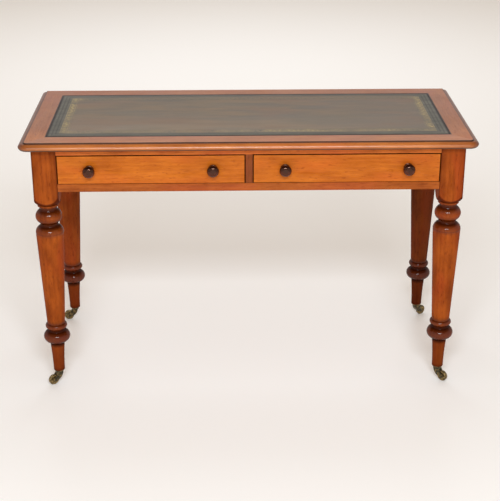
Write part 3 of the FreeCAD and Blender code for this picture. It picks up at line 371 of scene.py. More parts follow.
def rubbed_leather(finish, leather, x, y, clouds, streaks):
    """Browns of the worn middle: paler at the front left, greyer at the right, in soft patches."""
    hues = finish.drawn(finish.where, (4, 11, 11), 3.0, move=(2, 5, 1))
    worn = finish.sum("MULTIPLY_ADD", streaks, 0.5, finish.sum("MULTIPLY", clouds, 0.6))
    brown = finish.mix(finish.spread(worn, 0.42, 0.68), tinted(leather, 0.8, 0.86, 0.92),
                       tinted(leather, 1.22, 1.14, 1.02))
    paler = finish.sum("MULTIPLY", finish.spread(y, -0.2, 0.05, 0.75, 0.0),
                       finish.spread(x, -0.5, 0.55, 1.0, 0.4))
    greyer = finish.spread(x, 0.1, 0.5, 0.0, 0.6)
    olive = finish.spread(hues, 0.5, 0.66, 0.0, 0.5)
    redder = finish.spread(hues, 0.34, 0.48, 0.55, 0.0)
    for share_of, hue in ((paler, (1.5, 1.55, 1.6)), (greyer, (0.92, 0.98, 1.1)),
                          (olive, (0.93, 1.02, 1.04)), (redder, (1.16, 0.96, 0.9))):
        brown = finish.mix(share_of, brown, tinted(leather, *hue))
    return brown


def leather_finish(low, high):
    """Old dyed leather: a worn middle, a fresher border with blind lines, and a soiled edge."""
    finish = Finish("tooled_leather")
    finishes = bpy.context.scene.writing_table_finishes
    leather, band = finishes.leather, finishes.leather_band
    x, y = finish.node("SeparateXYZ", {0: finish.where}).outputs[:2]
    across = finish.sum("SUBTRACT", x, (low.x + high.x) / 2)
    along = finish.sum("SUBTRACT", y, (low.y + high.y) / 2)
    from_x = finish.sum("SUBTRACT", (high.x - low.x) / 2, finish.sum("ABSOLUTE", across))
    from_y = finish.sum("SUBTRACT", (high.y - low.y) / 2, finish.sum("ABSOLUTE", along))
    edge = finish.sum("MINIMUM", from_x, from_y)
    deeper = finish.spread(y, -0.05, 0.1, 1.5, 2.4)
    inner = finish.sum("MINIMUM", from_x, finish.sum("MULTIPLY", from_y, deeper))
    drift = finish.noise(finish.where, 12.0, 3.0)
    wandering = finish.sum("MULTIPLY_ADD", drift, 0.03, finish.sum("SUBTRACT", inner, 0.015))
    middle = finish.spread(wandering, 0.026, 0.062)
    clouds = finish.drawn(finish.where, (3, 9, 9), 4.0, 0.6)
    streaks = finish.drawn(finish.where, (7, 42, 42), 4.0, 0.62)
    slate = finish.mix(finish.spread(streaks, 0.3, 0.7), tinted(band, 0.8), tinted(band, 1.35))
    ground = finish.mix(middle, slate, rubbed_leather(finish, leather, x, y, clouds, streaks))
    roll = finish.sum("MULTIPLY", finish.spread(edge, 0.030, 0.035),
                      finish.spread(edge, 0.046, 0.054, 1, 0))
    ends = finish.spread(finish.sum("ABSOLUTE", across), 0.44, 0.5, 0.25, 0.6)
    ground = finish.mix(finish.sum("MULTIPLY", roll, ends), ground, tinted(leather, 1.5, 1.5, 1.2))
    turn = finish.sum("FRACT", finish.sum("MULTIPLY", edge, BLIND_LINES))
    line = finish.sum("ABSOLUTE", finish.sum("SUBTRACT", turn, 0.5))
    banded = finish.sum("MULTIPLY", finish.spread(line, 0.16, 0.26, 1, 0),
                        finish.spread(edge, 0.028, 0.031, 1, 0))
    pressed = finish.mix(finish.sum("MULTIPLY", banded, 0.55), ground, tinted(band, 0.3))
    scuffs = finish.drawn(finish.where, (26, 160, 60), 3.0, turn=(0, 0, 0.5))
    scuffs = finish.spread(scuffs, 0.62, 0.75)
    shade = finish.mix(finish.sum("MULTIPLY", scuffs, 0.22), pressed, tinted(leather, 1.8))
    darkened = finish.mix(finish.spread(edge, 0.0025, 0.0065, 1, 0), shade, opaque(finishes.shade_and_grime))
    grain = finish.node("TexVoronoi", {"Vector": finish.where, "Scale": 850.0},
                        feature="DISTANCE_TO_EDGE").outputs["Distance"]
    relief = finish.sum("SUBTRACT", finish.sum("MINIMUM", grain, 0.25),
                        finish.sum("MULTIPLY", banded, 0.8))
    finish.set(Base_Color=darkened, Roughness=finish.sum("MULTIPLY_ADD", clouds, 0.2, 0.38),
               Specular_IOR_Level=0.4,
               Normal=finish.bump(relief, 0.0006, 0.35, finish.bump(clouds, 0.002, 0.3)))
    return finish.material


def gilt_finish():
    """Gold leaf rubbed down to the leather in patches, least of all at the two ends."""
    finish = Finish("worn_gilt")
    finishes = bpy.context.scene.writing_table_finishes
    rubbed = finish.noise(finish.where, 22.0, 4.0, 0.7)
    specks = finish.noise(finish.where, 500.0)
    gold = finish.spread(finish.sum("MULTIPLY_ADD", specks, 0.5, rubbed), 0.6, 0.86)
    x, y = finish.node("SeparateXYZ", {0: finish.where}).outputs[:2]
    ends = finish.spread(finish.sum("ABSOLUTE", x), 0.46, 0.5)
    front = finish.sum("MULTIPLY", finish.spread(y, -0.1, 0.1, 1, 0),
                       finish.spread(x, -0.2, 0.15, 0.25, 0.7))
    gold = finish.sum("MULTIPLY", gold, finish.sum("MAXIMUM", ends, finish.sum("ADD", front, 0.12)))
    finish.set(Base_Color=finish.mix(gold, opaque(finishes.leather_band), opaque(finishes.gilt)),
               Metallic=finish.sum("MULTIPLY", gold, 0.35), Roughness=0.45)
    return finish.material


def brass_finish(name, rubbed):
    """Cast brass, dark with tarnish and bright where it rubs: more of it the higher rubbed is."""
    finish = Finish(name)
    finishes = bpy.context.scene.writing_table_finishes
    blotch = finish.noise(finish.where, 170.0, 4.0, 0.65)
    pits = finish.noise(finish.where, 900.0)
    rub = finish.sum("MULTIPLY_ADD", finish.painted("arris"), 0.3, blotch)
    rub = finish.spread(finish.sum("ADD", rub, rubbed), 0.36, 0.76)
    finish.set(Base_Color=finish.mix(rub, opaque(finishes.patina), opaque(finishes.brass)),
               Metallic=finish.sum("MULTIPLY_ADD", rub, 0.3, 0.65),
               Roughness=finish.sum("MULTIPLY_ADD", blotch, 0.25, 0.06),
               Normal=finish.bump(pits, 0.00015, 0.3, finish.bump(blotch, 0.0006, 0.4)))
    return finish.material


def steel_finish():
    """Steel with brown rust in patches."""
    finish = Finish("steel_screw")
    steel = opaque(bpy.context.scene.writing_table_finishes.steel)
    rust = finish.noise(finish.where, 300.0, 4.0, 0.7)
    finish.set(Base_Color=finish.mix(finish.spread(rust, 0.5, 0.7), steel, opaque(RUST)),
               Metallic=finish.spread(rust, 0.45, 0.65, 0.9, 0.35),
               Roughness=finish.sum("MULTIPLY_ADD", rust, 0.4, 0.25),
               Normal=finish.bump(rust, 0.0002, 0.4))
    return finish.material


# Making meshes

# Points nearer than this are one, in metres, and faces nearer to flat than this are one face
SAME_PLACE, FLAT = 1e-6, math.radians(0.6)
# A profile's turn from this on is a corner, eased within this share of the runs beside it
CORNER_TURN, EASE_SHARE = math.radians(18), 0.45
# Under this y of its normal a face looks sideways, and over this z upwards
SIDEWAYS, LOOKS_UP = 0.9, 0.2


def arc(start, end, sag, steps):
    """Points of an arc that bulges to the right of its travel, without its first point."""
    if abs(sag) < 1e-9:
        return [end]
    chord = end - start
    half = chord.length / 2
    radius = (half * half + sag * sag) / (2 * sag)
    right = Vector((chord.y, -chord.x)).normalized()
    centre = (start + end) / 2 + right * (sag - radius)
    sweep = 4 * math.atan(sag / half)
    spoke = start - centre
    return [centre + Matrix.Rotation(sweep * i / steps, 2) @ spoke for i in range(1, steps)] + [end]


def outline(rows, steps=12):
    """Points, in metres, of a profile given in millimetres.

    A row's third number is how far the run that ends there bulges.
    """
    points = []
    for row in rows:
        point = Vector(row[:2]) / 1000
        if points and len(row) > 2:
            points += arc(points[-1], point, row[2] / 1000, steps)
        else:
            points.append(point)
    return points


def eased(points, ease):
    """The profile with each sharp corner rounded."""
    steps = 3
    soft = [points[0]]
    for before, corner, after in zip(points, points[1:], points[2:]):
        into, out = corner - before, after - corner
        if min(into.length, out.length) < 1e-7 or into.angle(out) < CORNER_TURN:
            soft.append(corner)
            continue
        first = corner - into.normalized() * min(ease, into.length * EASE_SHARE)
        last = corner + out.normalized() * min(ease, out.length * EASE_SHARE)
        for step in range(steps + 1):
            t = step / steps
            soft.append(first.lerp(corner, t).lerp(corner.lerp(last, t), t))
    return soft + [points[-1]]


def hollowness(points):
    """How deep each point of a profile lies under its neighbours, from 0 to 1."""
    reach, depth = 0.012, 0.014
    found = []
    for point in points:
        near = [p.x for p in points if abs(p.y - point.y) <= reach]
        found.append(max(0.0, min(1.0, (max(near) - point.x) / depth)))
    return found


def read_off(table, at):
    """The value of a table of (place, value) rows at a place, in proportion between rows."""
    for (low, first), (high, last) in zip(table, table[1:]):
        if at <= high:
            return first + (last - first) * max(0.0, at - low) / (high - low)
    return table[-1][1]


def paint(mesh, name, values):
    """Keeps a value for each point of a mesh, which the finish reads by its name."""
    mesh.attributes.new(name, "FLOAT", "POINT").data.foreach_set("value", values)


def skin(name, rings, hollows=None):
    """A mesh from rings of points, with a flat face over each end and a value for each ring."""
    mesh = bpy.data.meshes.new(name)
    count = len(rings[0])
    points = [p for ring in rings for p in ring]
    faces = []
    for row in range(len(rings) - 1):
        low, high = row * count, (row + 1) * count
        faces += [(low + i, low + (i + 1) % count, high + (i + 1) % count, high + i)
                  for i in range(count)]
    faces.append(tuple(reversed(range(count))))
    faces.append(tuple(range(len(points) - count, len(points))))
    mesh.from_pydata([tuple(p) for p in points], [], faces)
    if hollows is not None:
        paint(mesh, "hollow", [h for h in hollows for _ in range(count)])
    return mesh


def lathe(points, place, facets):
    """A ring of points round the axis of place for each (radius, height) point of a profile."""
    angles = [math.tau * i / facets for i in range(facets)]
    return [[place @ Vector((p.x * math.cos(a), p.x * math.sin(a), p.y)) for a in angles]
            for p in points]


def show(mesh, body, material, stands_for=(), sharp=32):
    """Puts a finished mesh in the scene as a piece of a body, smooth up to an angle in degrees."""
    piece = bpy.data.objects.new(mesh.name, mesh)
    bpy.context.scene.collection.objects.link(piece)
    mesh.polygons.foreach_set("use_smooth", [True] * len(mesh.polygons))
    mesh.set_sharp_from_angle(angle=math.radians(sharp))
    mesh.materials.clear()
    mesh.materials.append(material)
    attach(piece, body)
    if stands_for:
        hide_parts(*stands_for)


def softened(node, width, body, material, limit=28, shade_gaps=False):
    """A copy of a node with its edges over a limit in degrees worn round, which stands for it.

    Its edges are worn pale.  Where it shades the gaps, only those that look up are, as wear with a
    painted highlight: the rest get a painted shade and soiling, and so do its faces in the gaps
    round the drawers.
    """
    work = bmesh.new()
    work.from_mesh(NODES[node].data)
    bmesh.ops.remove_doubles(work, verts=work.verts, dist=SAME_PLACE)
    bmesh.ops.dissolve_limit(work, angle_limit=FLAT, verts=work.verts, edges=work.edges)
    pale = work.loops.layers.float.new("arris")
    shade_and_dirt_layer = work.loops.layers.float.new("hollow")
    sharp = [e for e in work.edges if len(e.link_faces) == 2
             and e.calc_face_angle(0) > math.radians(limit)]
    worn = bmesh.ops.bevel(work, geom=sharp, offset=width, offset_type="OFFSET", segments=2,
                           profile=0.5, affect="EDGES", clamp_overlap=True)
    work.normal_update()
    for face in work.faces:
        level = face.calc_center_median().z
        # Faces in the gaps round the drawers get a painted shade and soiling
        if shade_gaps and abs(face.normal.y) < SIDEWAYS and GAPS_LOW < level < GAPS_HIGH:
            for loop in face.loops:
                loop[shade_and_dirt_layer] = 1.0
    for face in worn["faces"]:
        # Worn edges that look up are painted pale, as wear with a painted highlight; the others get
        # a painted shade and soiling
        layer = shade_and_dirt_layer if shade_gaps and face.normal.z < LOOKS_UP else pale
        for loop in face.loops:
            loop[layer] = 1.0 - loop[shade_and_dirt_layer] if layer is pale else 1.0
    mesh = bpy.data.meshes.new(node + "_worn")
    work.to_mesh(mesh)
    work.free()
    show(mesh, body, material, [node], sharp=40)


def dress(nodes, material):
    """Gives nodes that keep their own shape a finish."""
    for node in nodes:
        for slot in NODES[node].material_slots:
            slot.link = "OBJECT"
            slot.material = material


# Top

# Radius of the two front corners
TOP_CORNER = 0.027
# The riser of the moulding: how far in it stands and how high its foot lies, in millimetres
RISER_IN, RISER_FOOT = 14.5, 17.6
# How far up the nose of the moulding stands out most, and how far under it the edge goes in
NOSE_UP, NOSE_UNDER = 9.5, 5.5
# How far soiling reaches from the leather and round the riser's foot, and a painted shade up from
# the underside of the nose
INNER_GRIME, FOOT_GRIME, UNDER_SHADE = 0.0031, 0.0034, 0.007
# Lengths over which the soiling thins out beside the leather and the painted shade above the
# underside
INNER_FADE, UNDER_SHADE_FADE = 0.0019, 0.004
# The moulding lies within this of the edge, and it is painted darker this near to the two ends
MOULDING_DEEP, END_DARK_REACH = 0.02, 0.035


def moulded_section(width, ease):
    """The moulding's section in metres, in from the edge and up, with soiling and painted shade."""
    low, high, inner = TOP_LOW.z * 1000, TOP_HIGH.z * 1000, width * 1000
    points = outline([(inner, low), (NOSE_UNDER, low), (0, low + NOSE_UP, -1.6),
                      (RISER_IN, low + RISER_FOOT, -3.0), (RISER_IN, high - 1.5),
                      (RISER_IN, high), (RISER_IN + 1.1, high), (RISER_IN + 2.8, high),
                      (inner - 3, high), (inner - 1.2, high), (inner, high)])
    points = eased(points, ease)
    foot = Vector((RISER_IN, low + RISER_FOOT)) / 1000
    shade_and_grime = []
    for point in points:
        beyond = (point.x - width + INNER_GRIME) / INNER_FADE if point.y > foot.y else 0
        on_riser = foot.x - 0.0001 < point.x < foot.x + 0.0012 and point.y > foot.y - 0.0002
        near = 1 - (point - foot).length / FOOT_GRIME if point.x < foot.x + 0.0001 else 0
        # A painted shade on the underside of the nose, where it overhangs the rail
        under = min(1.0, (TOP_LOW.z + UNDER_SHADE - point.y) / UNDER_SHADE_FADE) * 0.9
        shade_and_grime.append(min(1.0, max(0.0, beyond, float(on_riser), near, under)))
    return points, shade_and_grime


def mitred_run(half_u, half_v, inset, width, other, corner):
    """Points of one line of a border from its mitre on, round its corner if it has one.

    The line runs inset from the edge of a border of a width, which meets one of another width.
    """
    steps = 12
    if inset >= corner:
        start = Vector((-half_u + inset * other / width, -half_v + inset))
        stop = max(-half_u + corner, start.x + 0.001)
        return [start.lerp(Vector((stop, start.y)), i / steps) for i in range(steps + 1)]
    slope = Vector((other, width)).normalized()
    radius = corner - inset
    reach = corner * (slope.x + slope.y)
    along = reach - math.sqrt(max(0.0, reach * reach - 2 * corner * corner + radius * radius))
    start = Vector((-half_u, -half_v)) + slope * along
    centre = Vector((-half_u + corner, -half_v + corner))
    spoke = start - centre
    begin = math.atan2(spoke.y, spoke.x)
    begin -= math.tau if begin > 0 else 0
    angles = [begin + (-math.pi / 2 - begin) * i / steps for i in range(steps + 1)]
    return [centre + radius * Vector((math.cos(a), math.sin(a))) for a in angles]


# How dark the old polish of the top lies at each distance from its front, in millimetres
TOP_STAIN = [(0, 0.0), (60, 0.06), (150, 0.32), (430, 0.36), (520, 0.22)]


def with_shade_and_grime(mesh, values):
    """Paints a border's soiling and painted shade and its old polish, and turns its faces out.

    The polish follows a table on the flat, and the moulding is painted darker towards the two ends.
    """
    paint(mesh, "hollow", values)
    flat = TOP_HIGH.z - 0.0001
    stain_and_shade_values = []
    for place in (vertex.co for vertex in mesh.vertices):
        near_end = min(1.0, max(0.0, 1.15 - (TOP_HIGH.x - abs(place.x)) / END_DARK_REACH))
        stain_and_shade_values.append(read_off(TOP_STAIN, (place.y - TOP_LOW.y) * 1000) if place.z > flat
                      else near_end * 0.85)
    paint(mesh, "stain", stain_and_shade_values)
    work = bmesh.new()
    work.from_mesh(mesh)
    bmesh.ops.recalc_face_normals(work, faces=work.faces)
    work.to_mesh(mesh)
    work.free()
    return mesh


def moulded_border(name, half_u, half_v, width, first, last, turn, ease):
    """One moulded border swept along its edge and turned about the middle.

    Each end is the width of the border that it meets and the radius of their corner.
    """
    around = Matrix.Rotation(turn, 3, "Z")
    points, shade_and_grime = moulded_section(width, ease)
    rings, values = [], []
    for (inset, height), darkening in zip(points, shade_and_grime):
        left = mitred_run(half_u, half_v, inset, width, *first)
        right = mitred_run(half_u, half_v, inset, width, *last)
        right = [Vector((-p.x, p.y)) for p in reversed(right)]
        middle = [left[-1].lerp(right[0], i / 8) for i in range(1, 8)]
        whole = left + middle + right
        rings.append([around @ Vector((p.x, p.y, height)) for p in whole])
        values += [darkening] * len(whole)
    count, rows = len(rings[0]), len(rings)
    faces = []
    for row in range(rows):
        low, high = row * count, (row + 1) % rows * count
        faces += [(low + i, low + i + 1, high + i + 1, high + i) for i in range(count - 1)]
    faces.append(tuple(row * count for row in range(rows)))
    faces.append(tuple(row * count + count - 1 for row in reversed(range(rows))))
    mesh = bpy.data.meshes.new(name)
    mesh.from_pydata([tuple(p) for ring in rings for p in ring], [], faces)
    return with_shade_and_grime(mesh, values)


def plain_border(name, ease):
    """The back border: square along the back, with the moulding's section at its two ends.

    Its rings run from the leather, where they are soiled, to the back, where they draw in.
    """
    points, shade_and_grime = moulded_section(BORDER_END, ease)
    shade_and_grime = [darkening if point.x < MOULDING_DEEP else 0.0 for point, darkening in zip(points, shade_and_grime)]
    loop = [(TOP_LOW.x + p.x, p.y) for p in points]
    loop += [(TOP_HIGH.x - p.x, p.y) for p in reversed(points)]
    shade_and_grime += list(reversed(shade_and_grime))
    back, front = TOP_HIGH.y, TOP_HIGH.y - BORDER_BACK
    rings, values = [], []
    for y, shrink, darkening in ((front, 0, 0.9), (front + 0.0012, 0, 0.9), (front + 0.003, 0, 0.0),
                            (back - ease, 0, 0.0), (back, ease, 0.0)):
        rings.append([Vector((x, y, min(max(z, TOP_LOW.z + shrink), TOP_HIGH.z - shrink)))
                      for x, z in loop])
        values += [max(darkening, value) for value in shade_and_grime]
    mesh = with_shade_and_grime(skin(name, rings), values)
    work = bmesh.new()
    work.from_mesh(mesh)
    for sign in (-1, 1):
        corner = Vector((TOP_HIGH.x * sign, back, 0))
        outwards = Vector((BORDER_BACK * sign, -BORDER_END, 0)).normalized()
        found = bmesh.ops.bisect_plane(work, geom=work.verts[:] + work.edges[:] + work.faces[:],
                                       dist=1e-7, plane_co=corner, plane_no=outwards,
                                       clear_outer=True)
        rim = [item for item in found["geom_cut"] if isinstance(item, bmesh.types.BMEdge)]
        bmesh.ops.contextual_create(work, geom=rim)
    bmesh.ops.recalc_face_normals(work, faces=work.faces)
    work.to_mesh(mesh)
    work.free()
    return mesh


class WRITING_TABLE_OT_top(bpy.types.Operator):
    """Sweeps the moulded borders of the top, with a plain one behind, and finishes the panel"""
    bl_idname = "writing_table.top"
    bl_label = "Moulded Top"

    def execute(self, context):
        sizes = context.scene.writing_table_sizes
        finishes = context.scene.writing_table_finishes
        half_x, half_y = TOP_HIGH.x, TOP_HIGH.y
        ease = sizes.moulding_ease
        beside, before = (BORDER_END, TOP_CORNER), (BORDER_FRONT, TOP_CORNER)
        behind = (BORDER_BACK, 0)
        # Side, grain and seed, half the length and half the way across, width, ends and turn
        edges = (("front", "X", 1.3, half_x, half_y, BORDER_FRONT, beside, beside, 0),
                 ("right", "Y", 2.9, half_y, half_x, BORDER_END, before, behind, math.pi / 2),
                 ("left", "Y", 5.7, half_y, half_x, BORDER_END, behind, before, -math.pi / 2))
        borders = [(side, grain, seed, moulded_border("top_%s_border_moulded" % side, *shape, ease))
                   for side, grain, seed, *shape in edges]
        borders.append(("back", "X", 4.2, plain_border("top_back_border_plain", ease)))
        for side, grain, seed, mesh in borders:
            material = wood("top_mahogany", finishes.top_light, finishes.top_dark, grain, seed,
                            finishes.polish, 0.12, figure=0.9,
                            specular=0.5 if side == "front" else 0.3)
            show(mesh, CARCASS, material, ["top_%s_border" % side])
        dress(["top_panel"], plain_wood("panel", finishes.carcass, "X", 0.0))
        return {"FINISHED"}


# Leather

# How deep the gilt goes into the leather, and how far its face stays under the borders' top
GILT_DEPTH, GILT_UNDER = 0.00003, 0.00002
# How far inside the second gilt line the fine one lies, and its width beside theirs
FINE_LINE, FINE_SHARE = 0.0045, 0.5
# A motif of the gilt roll: each leaf's length and width beside the roll's width, and its lean
MOTIF = [(0.62, 0.2, 0), (0.5, 0.15, -0.75), (0.3, 0.11, -1.45), (0.5, 0.15, 0.75),
         (0.3, 0.11, 1.45)]
# The star at each corner: its leaves, their length and width beside the roll's, and its turn
STAR_LEAVES, STAR_LONG, STAR_WIDE, STAR_TURN = 8, 0.46, 0.15, 0.39


def leather_mesh(half_x, half_y, low, high):
    """A thin skin, softly rounded down at its edge."""
    rows = [(0.0, low), (0.0, high - 0.0005), (0.00015, high - 0.0002), (0.0006, high),
            (0.0200, high), (0.0600, high)]
    count_x, count_y = 60, 24
    rings = []
    for inset, level in rows:
        x, y = half_x - inset, half_y - inset
        ring = [(-x + 2 * x * i / count_x, -y) for i in range(count_x)]
        ring += [(x, -y + 2 * y * i / count_y) for i in range(count_y)]
        ring += [(x - 2 * x * i / count_x, y) for i in range(count_x)]
        ring += [(-x, y - 2 * y * i / count_y) for i in range(count_y)]
        rings.append([Vector((px, py, level)) for px, py in ring])
    return skin("leather_skin", rings)


def leaf(reach, width, at, turn):
    """A pointed leaf shape on the leather, as points in its plane."""
    steps = 5
    points = []
    for side in (1, -1):
        for i in range(steps):
            t = i / steps if side > 0 else 1 - i / steps
            points.append(Vector((t * reach, side * width / 2 * math.sin(math.pi * t))))
    spin = Matrix.Rotation(turn, 2)
    return [at + spin @ p for p in points]


def tooling_mesh(half_x, half_y, low, high, sizes):
    """Three gilt lines, a roll of small leaves between the outer two, and a star at each corner."""
    shapes = []
    inset, width, line = sizes.tooling_inset, sizes.tooling_width, sizes.gilt_line
    inner = inset + width
    for offset, thick in ((inset, line), (inner, line), (inner + FINE_LINE, line * FINE_SHARE)):
        x, y = half_x - offset, half_y - offset
        outside, inside = ([Vector((-a, -b)), Vector((a, -b)), Vector((a, b))]
                           for a, b in ((x, y), (x - thick, y - thick)))
        for sign in (1, -1):
            for i in range(2):
                run = (outside[i], outside[i + 1], inside[i + 1], inside[i])
                shapes.append([p * sign for p in run])
    middle = inset + width / 2 + line / 2
    reach_x, reach_y = half_x - middle, half_y - middle
    for along, across, turn in ((reach_x, reach_y, 0), (reach_y, reach_x, math.pi / 2),
                                (reach_x, reach_y, math.pi), (reach_y, reach_x, -math.pi / 2)):
        spin = Matrix.Rotation(turn, 2)
        count = max(2, round(2 * (along - width / 2) / sizes.tooling_pitch))
        pitch = 2 * (along - width / 2) / count
        for i in range(count):
            at = Vector((-along + width / 2 + pitch * (i + 0.5), -across))
            flip = 1 if i % 2 else -1
            root = at - Vector((0, width * 0.3 * flip))
            for reach, wide, lean in MOTIF:
                shape = leaf(width * reach, width * wide, root, math.pi / 2 * flip + lean)
                shapes.append([spin @ p for p in shape])
    for sign_x in (1, -1):
        for sign_y in (1, -1):
            at = Vector((reach_x * sign_x, reach_y * sign_y))
            for i in range(STAR_LEAVES):
                shapes.append(leaf(width * STAR_LONG, width * STAR_WIDE, at,
                                   math.tau * i / STAR_LEAVES + STAR_TURN))
    return slips("gilt_tooling", shapes, low, high)


def slips(name, shapes, low, high):
    """Flat closed slips, one for each shape."""
    points, faces = [], []
    for shape in shapes:
        area = sum(a.x * b.y - a.y * b.x for a, b in zip(shape, shape[1:] + shape[:1]))
        ring = shape if area > 0 else list(reversed(shape))
        first, count = len(points), len(ring)
        points += [(p.x, p.y, low) for p in ring] + [(p.x, p.y, high) for p in ring]
        faces.append(tuple(first + i for i in reversed(range(count))))
        faces.append(tuple(first + count + i for i in range(count)))
        faces += [(first + i, first + (i + 1) % count, first + count + (i + 1) % count,
                   first + count + i) for i in range(count)]
    mesh = bpy.data.meshes.new(name)
    mesh.from_pydata(points, [], faces)
    return mesh


class WRITING_TABLE_OT_leather(bpy.types.Operator):
    """Lays the leather in its recess and tools a gilt border on it"""
    bl_idname = "writing_table.leather"
    bl_label = "Tooled Leather"

    def execute(self, context):
        sizes = context.scene.writing_table_sizes
        low, high = LEATHER_LOW, LEATHER_HIGH
        middle = (low + high) / 2
        half_x, half_y = high.x - middle.x, high.y - middle.y
        top = high.z - sizes.skin_dip
        leather = leather_mesh(half_x, half_y, low.z, top)
        tooling = tooling_mesh(half_x, half_y, top - GILT_DEPTH, high.z - GILT_UNDER, sizes)
        for mesh in (leather, tooling):
            mesh.transform(Matrix.Translation((middle.x, middle.y, 0)))
        show(leather, CARCASS, leather_finish(low, high), ["leather_inset"])
        show(tooling, CARCASS, gilt_finish())
        return {"FINISHED"}


# Legs

# The turning from the foot up: radius and height in millimetres, and the bulge of its run
LEG_PROFILE = [
    (15.7, 44.0), (20.4, 132.0, -1.0),
    (25.5, 136.0), (25.5, 168.0, 11.7),
    (24.5, 168.0), (24.5, 177.0, -1.5),
    (24.5, 193.0, 5.8),
    (24.9, 193.0), (38.2, 470.0), (38.3, 472.0),
    (26.0, 490.0, 3.0), (26.0, 500.0, -2.0),
    (26.0, 536.0, 10.0), (26.0, 548.0, -2.0),
    (28.5, 548.0), (28.5, 553.0),
]

# How dark the turning is at each height in millimetres: old polish, and a painted shade
# on the tops of the knop, cap and ball, under the parts that overhang them
LEG_STAIN_AND_SHADE = [
    (44, 1.0), (49, 0.8), (54, 0.6), (118, 0.5), (128, 0.65), (136, 0.95), (152, 0.8),
    (168, 0.9), (172, 1.0), (178, 0.9), (185, 0.6), (192, 0.9), (196, 0.3), (202, 0.0),
    (469, 0.0), (471, 0.9), (474, 0.5), (484, 0.55), (489, 0.95), (498, 0.7), (504, 0.95),
    (508, 0.5), (518, 0.3), (530, 0.6), (537, 0.95), (544, 0.8), (548, 0.4), (553, 0.3),
    (556, 0.6),
]

# Levels of the foot's top, and of the square block with its shoulders
FOOT_TOP, BLOCK_BOTTOM, SHOULDER_TOP, BLOCK_TOP = 0.132, 0.553, 0.588, TOP_LOW.z
HALF_BLOCK = 0.0335
# The turned curve that cuts the block's shoulders, up to just beyond its sharp corners
SHOULDER_PROFILE = [(29.5, 554.0), (HALF_BLOCK * 2 ** 0.5 * 1000 + 0.2, 586.0, 4.0)]
# Radius of the block's outer corner and of its three others, and the width of the worn cut
BLOCK_CORNER, SMALL_CORNER, WORN_CUT = 0.010, 0.0012, 0.0012
# How dark the block's corners are painted, as a painted shade where its faces turn from the light,
# and over what angle, in a broad and a narrow shade
CORNER_SHADES = [(0.4, 0.4), (0.8, 0.09)]
# How dark the painted shade is along the cut, how far up from there, and over what length that
# fades
CUT_SHADE, CUT_REACH, CUT_FADE = 0.95, 0.002, 0.003
# Painted shade and soiling where the block starts, under its shoulders, and the length over which
# it fades
BLOCK_SHADE_AND_GRIME, BLOCK_FADE = 0.8, 0.005
# How dull the block and the foot are, and the turning between them where it has no staining
# or painted shade
DULL_ENDS, DULL_TURNING = 0.85, 0.8
# How light each leg's wood is painted beside that of the front ones: a painted shade on the back
# legs, which lie further from the lamps
LEG_SHADING = {"front_left": 1.0, "front_right": 1.0, "back_left": 0.9, "back_right": 0.48}


def square_reach(angle, half, rounding):
    """How far a square with rounded corners reaches from its middle at an angle."""
    x, y = abs(math.cos(angle)), abs(math.sin(angle))
    if x < y:
        x, y = y, x
    flat = half / x
    if flat * y <= half - rounding:
        return flat
    centre = half - rounding
    along = centre * (x + y)
    return along + math.sqrt(max(0.0, along * along - 2 * centre * centre + rounding * rounding))


def divided(rows, step):
    """A profile in millimetres with its long straight runs cut into shorter ones."""
    found = [rows[0]]
    for before, row in zip(rows, rows[1:]):
        count = 1 if len(row) > 2 else max(1, round(abs(row[1] - before[1]) / step))
        found += [(before[0] + (row[0] - before[0]) * i / count,
                   before[1] + (row[1] - before[1]) * i / count) for i in range(1, count)]
        found.append(row)
    return found


def leg_mesh(name, middle, facets, ease):
    """The turned part and its square block, in one skin.

    The block's shoulders are the square cut by a turned curve, which each of its lower rows is
    limited to.  A painted shade lies along the cut and at the block's corners, where its faces turn
    from the light.
    """
    outer = math.atan2(math.copysign(1, middle.y), math.copysign(1, middle.x))
    points = eased(outline(divided(LEG_PROFILE, step=8), steps=14), ease)
    # The turning's hollows get a painted shade with soiling
    hollows = hollowness(points)
    rings = lathe(points, Matrix.Translation(middle), facets)
    stain_and_shade_values = [read_off(LEG_STAIN_AND_SHADE, p.y * 1000) for p in points for _ in range(facets)]
    rows = [(p.x, p.y) for p in outline(SHOULDER_PROFILE, steps=28)]
    rows += [(1.0, SHOULDER_TOP + (BLOCK_TOP - SHOULDER_TOP) * i / 8) for i in range(9)]
    for limit, level in rows:
        ring = []
        for i in range(facets):
            angle = math.tau * i / facets
            off = (angle - outer + math.pi) % math.tau - math.pi
            rounding = BLOCK_CORNER if abs(off) < math.pi / 4 else SMALL_CORNER
            flat = square_reach(angle, HALF_BLOCK, rounding)
            near = max(0.0, 1 - abs(flat - limit) / WORN_CUT)
            reach = min(flat, limit) - WORN_CUT * near * near / 4
            ring.append(middle + Vector((reach * math.cos(angle), reach * math.sin(angle), level)))
            corner = abs(angle % (math.pi / 2) - math.pi / 4)
            cut = next(z for reaches, z in rows if reaches >= flat)
            above = min(1.0, max(0.0, 1 - (level - cut - CUT_REACH) / CUT_FADE))
            stain_and_shade_values.append(max(CUT_SHADE * above, *(shade * max(0.0, 1 - corner / wide)
                                                   for shade, wide in CORNER_SHADES)))
        rings.append(ring)
        hollows.append(max(0.0, 1 - (level - BLOCK_BOTTOM) / BLOCK_FADE) * BLOCK_SHADE_AND_GRIME)
    mesh = skin(name, rings, hollows)
    paint(mesh, "stain", stain_and_shade_values)
    paint(mesh, "dull", [DULL_TURNING * (1 - stain) if FOOT_TOP < vertex.co.z < BLOCK_BOTTOM
                         else DULL_ENDS for vertex, stain in zip(mesh.vertices, stain_and_shade_values)])
    return mesh


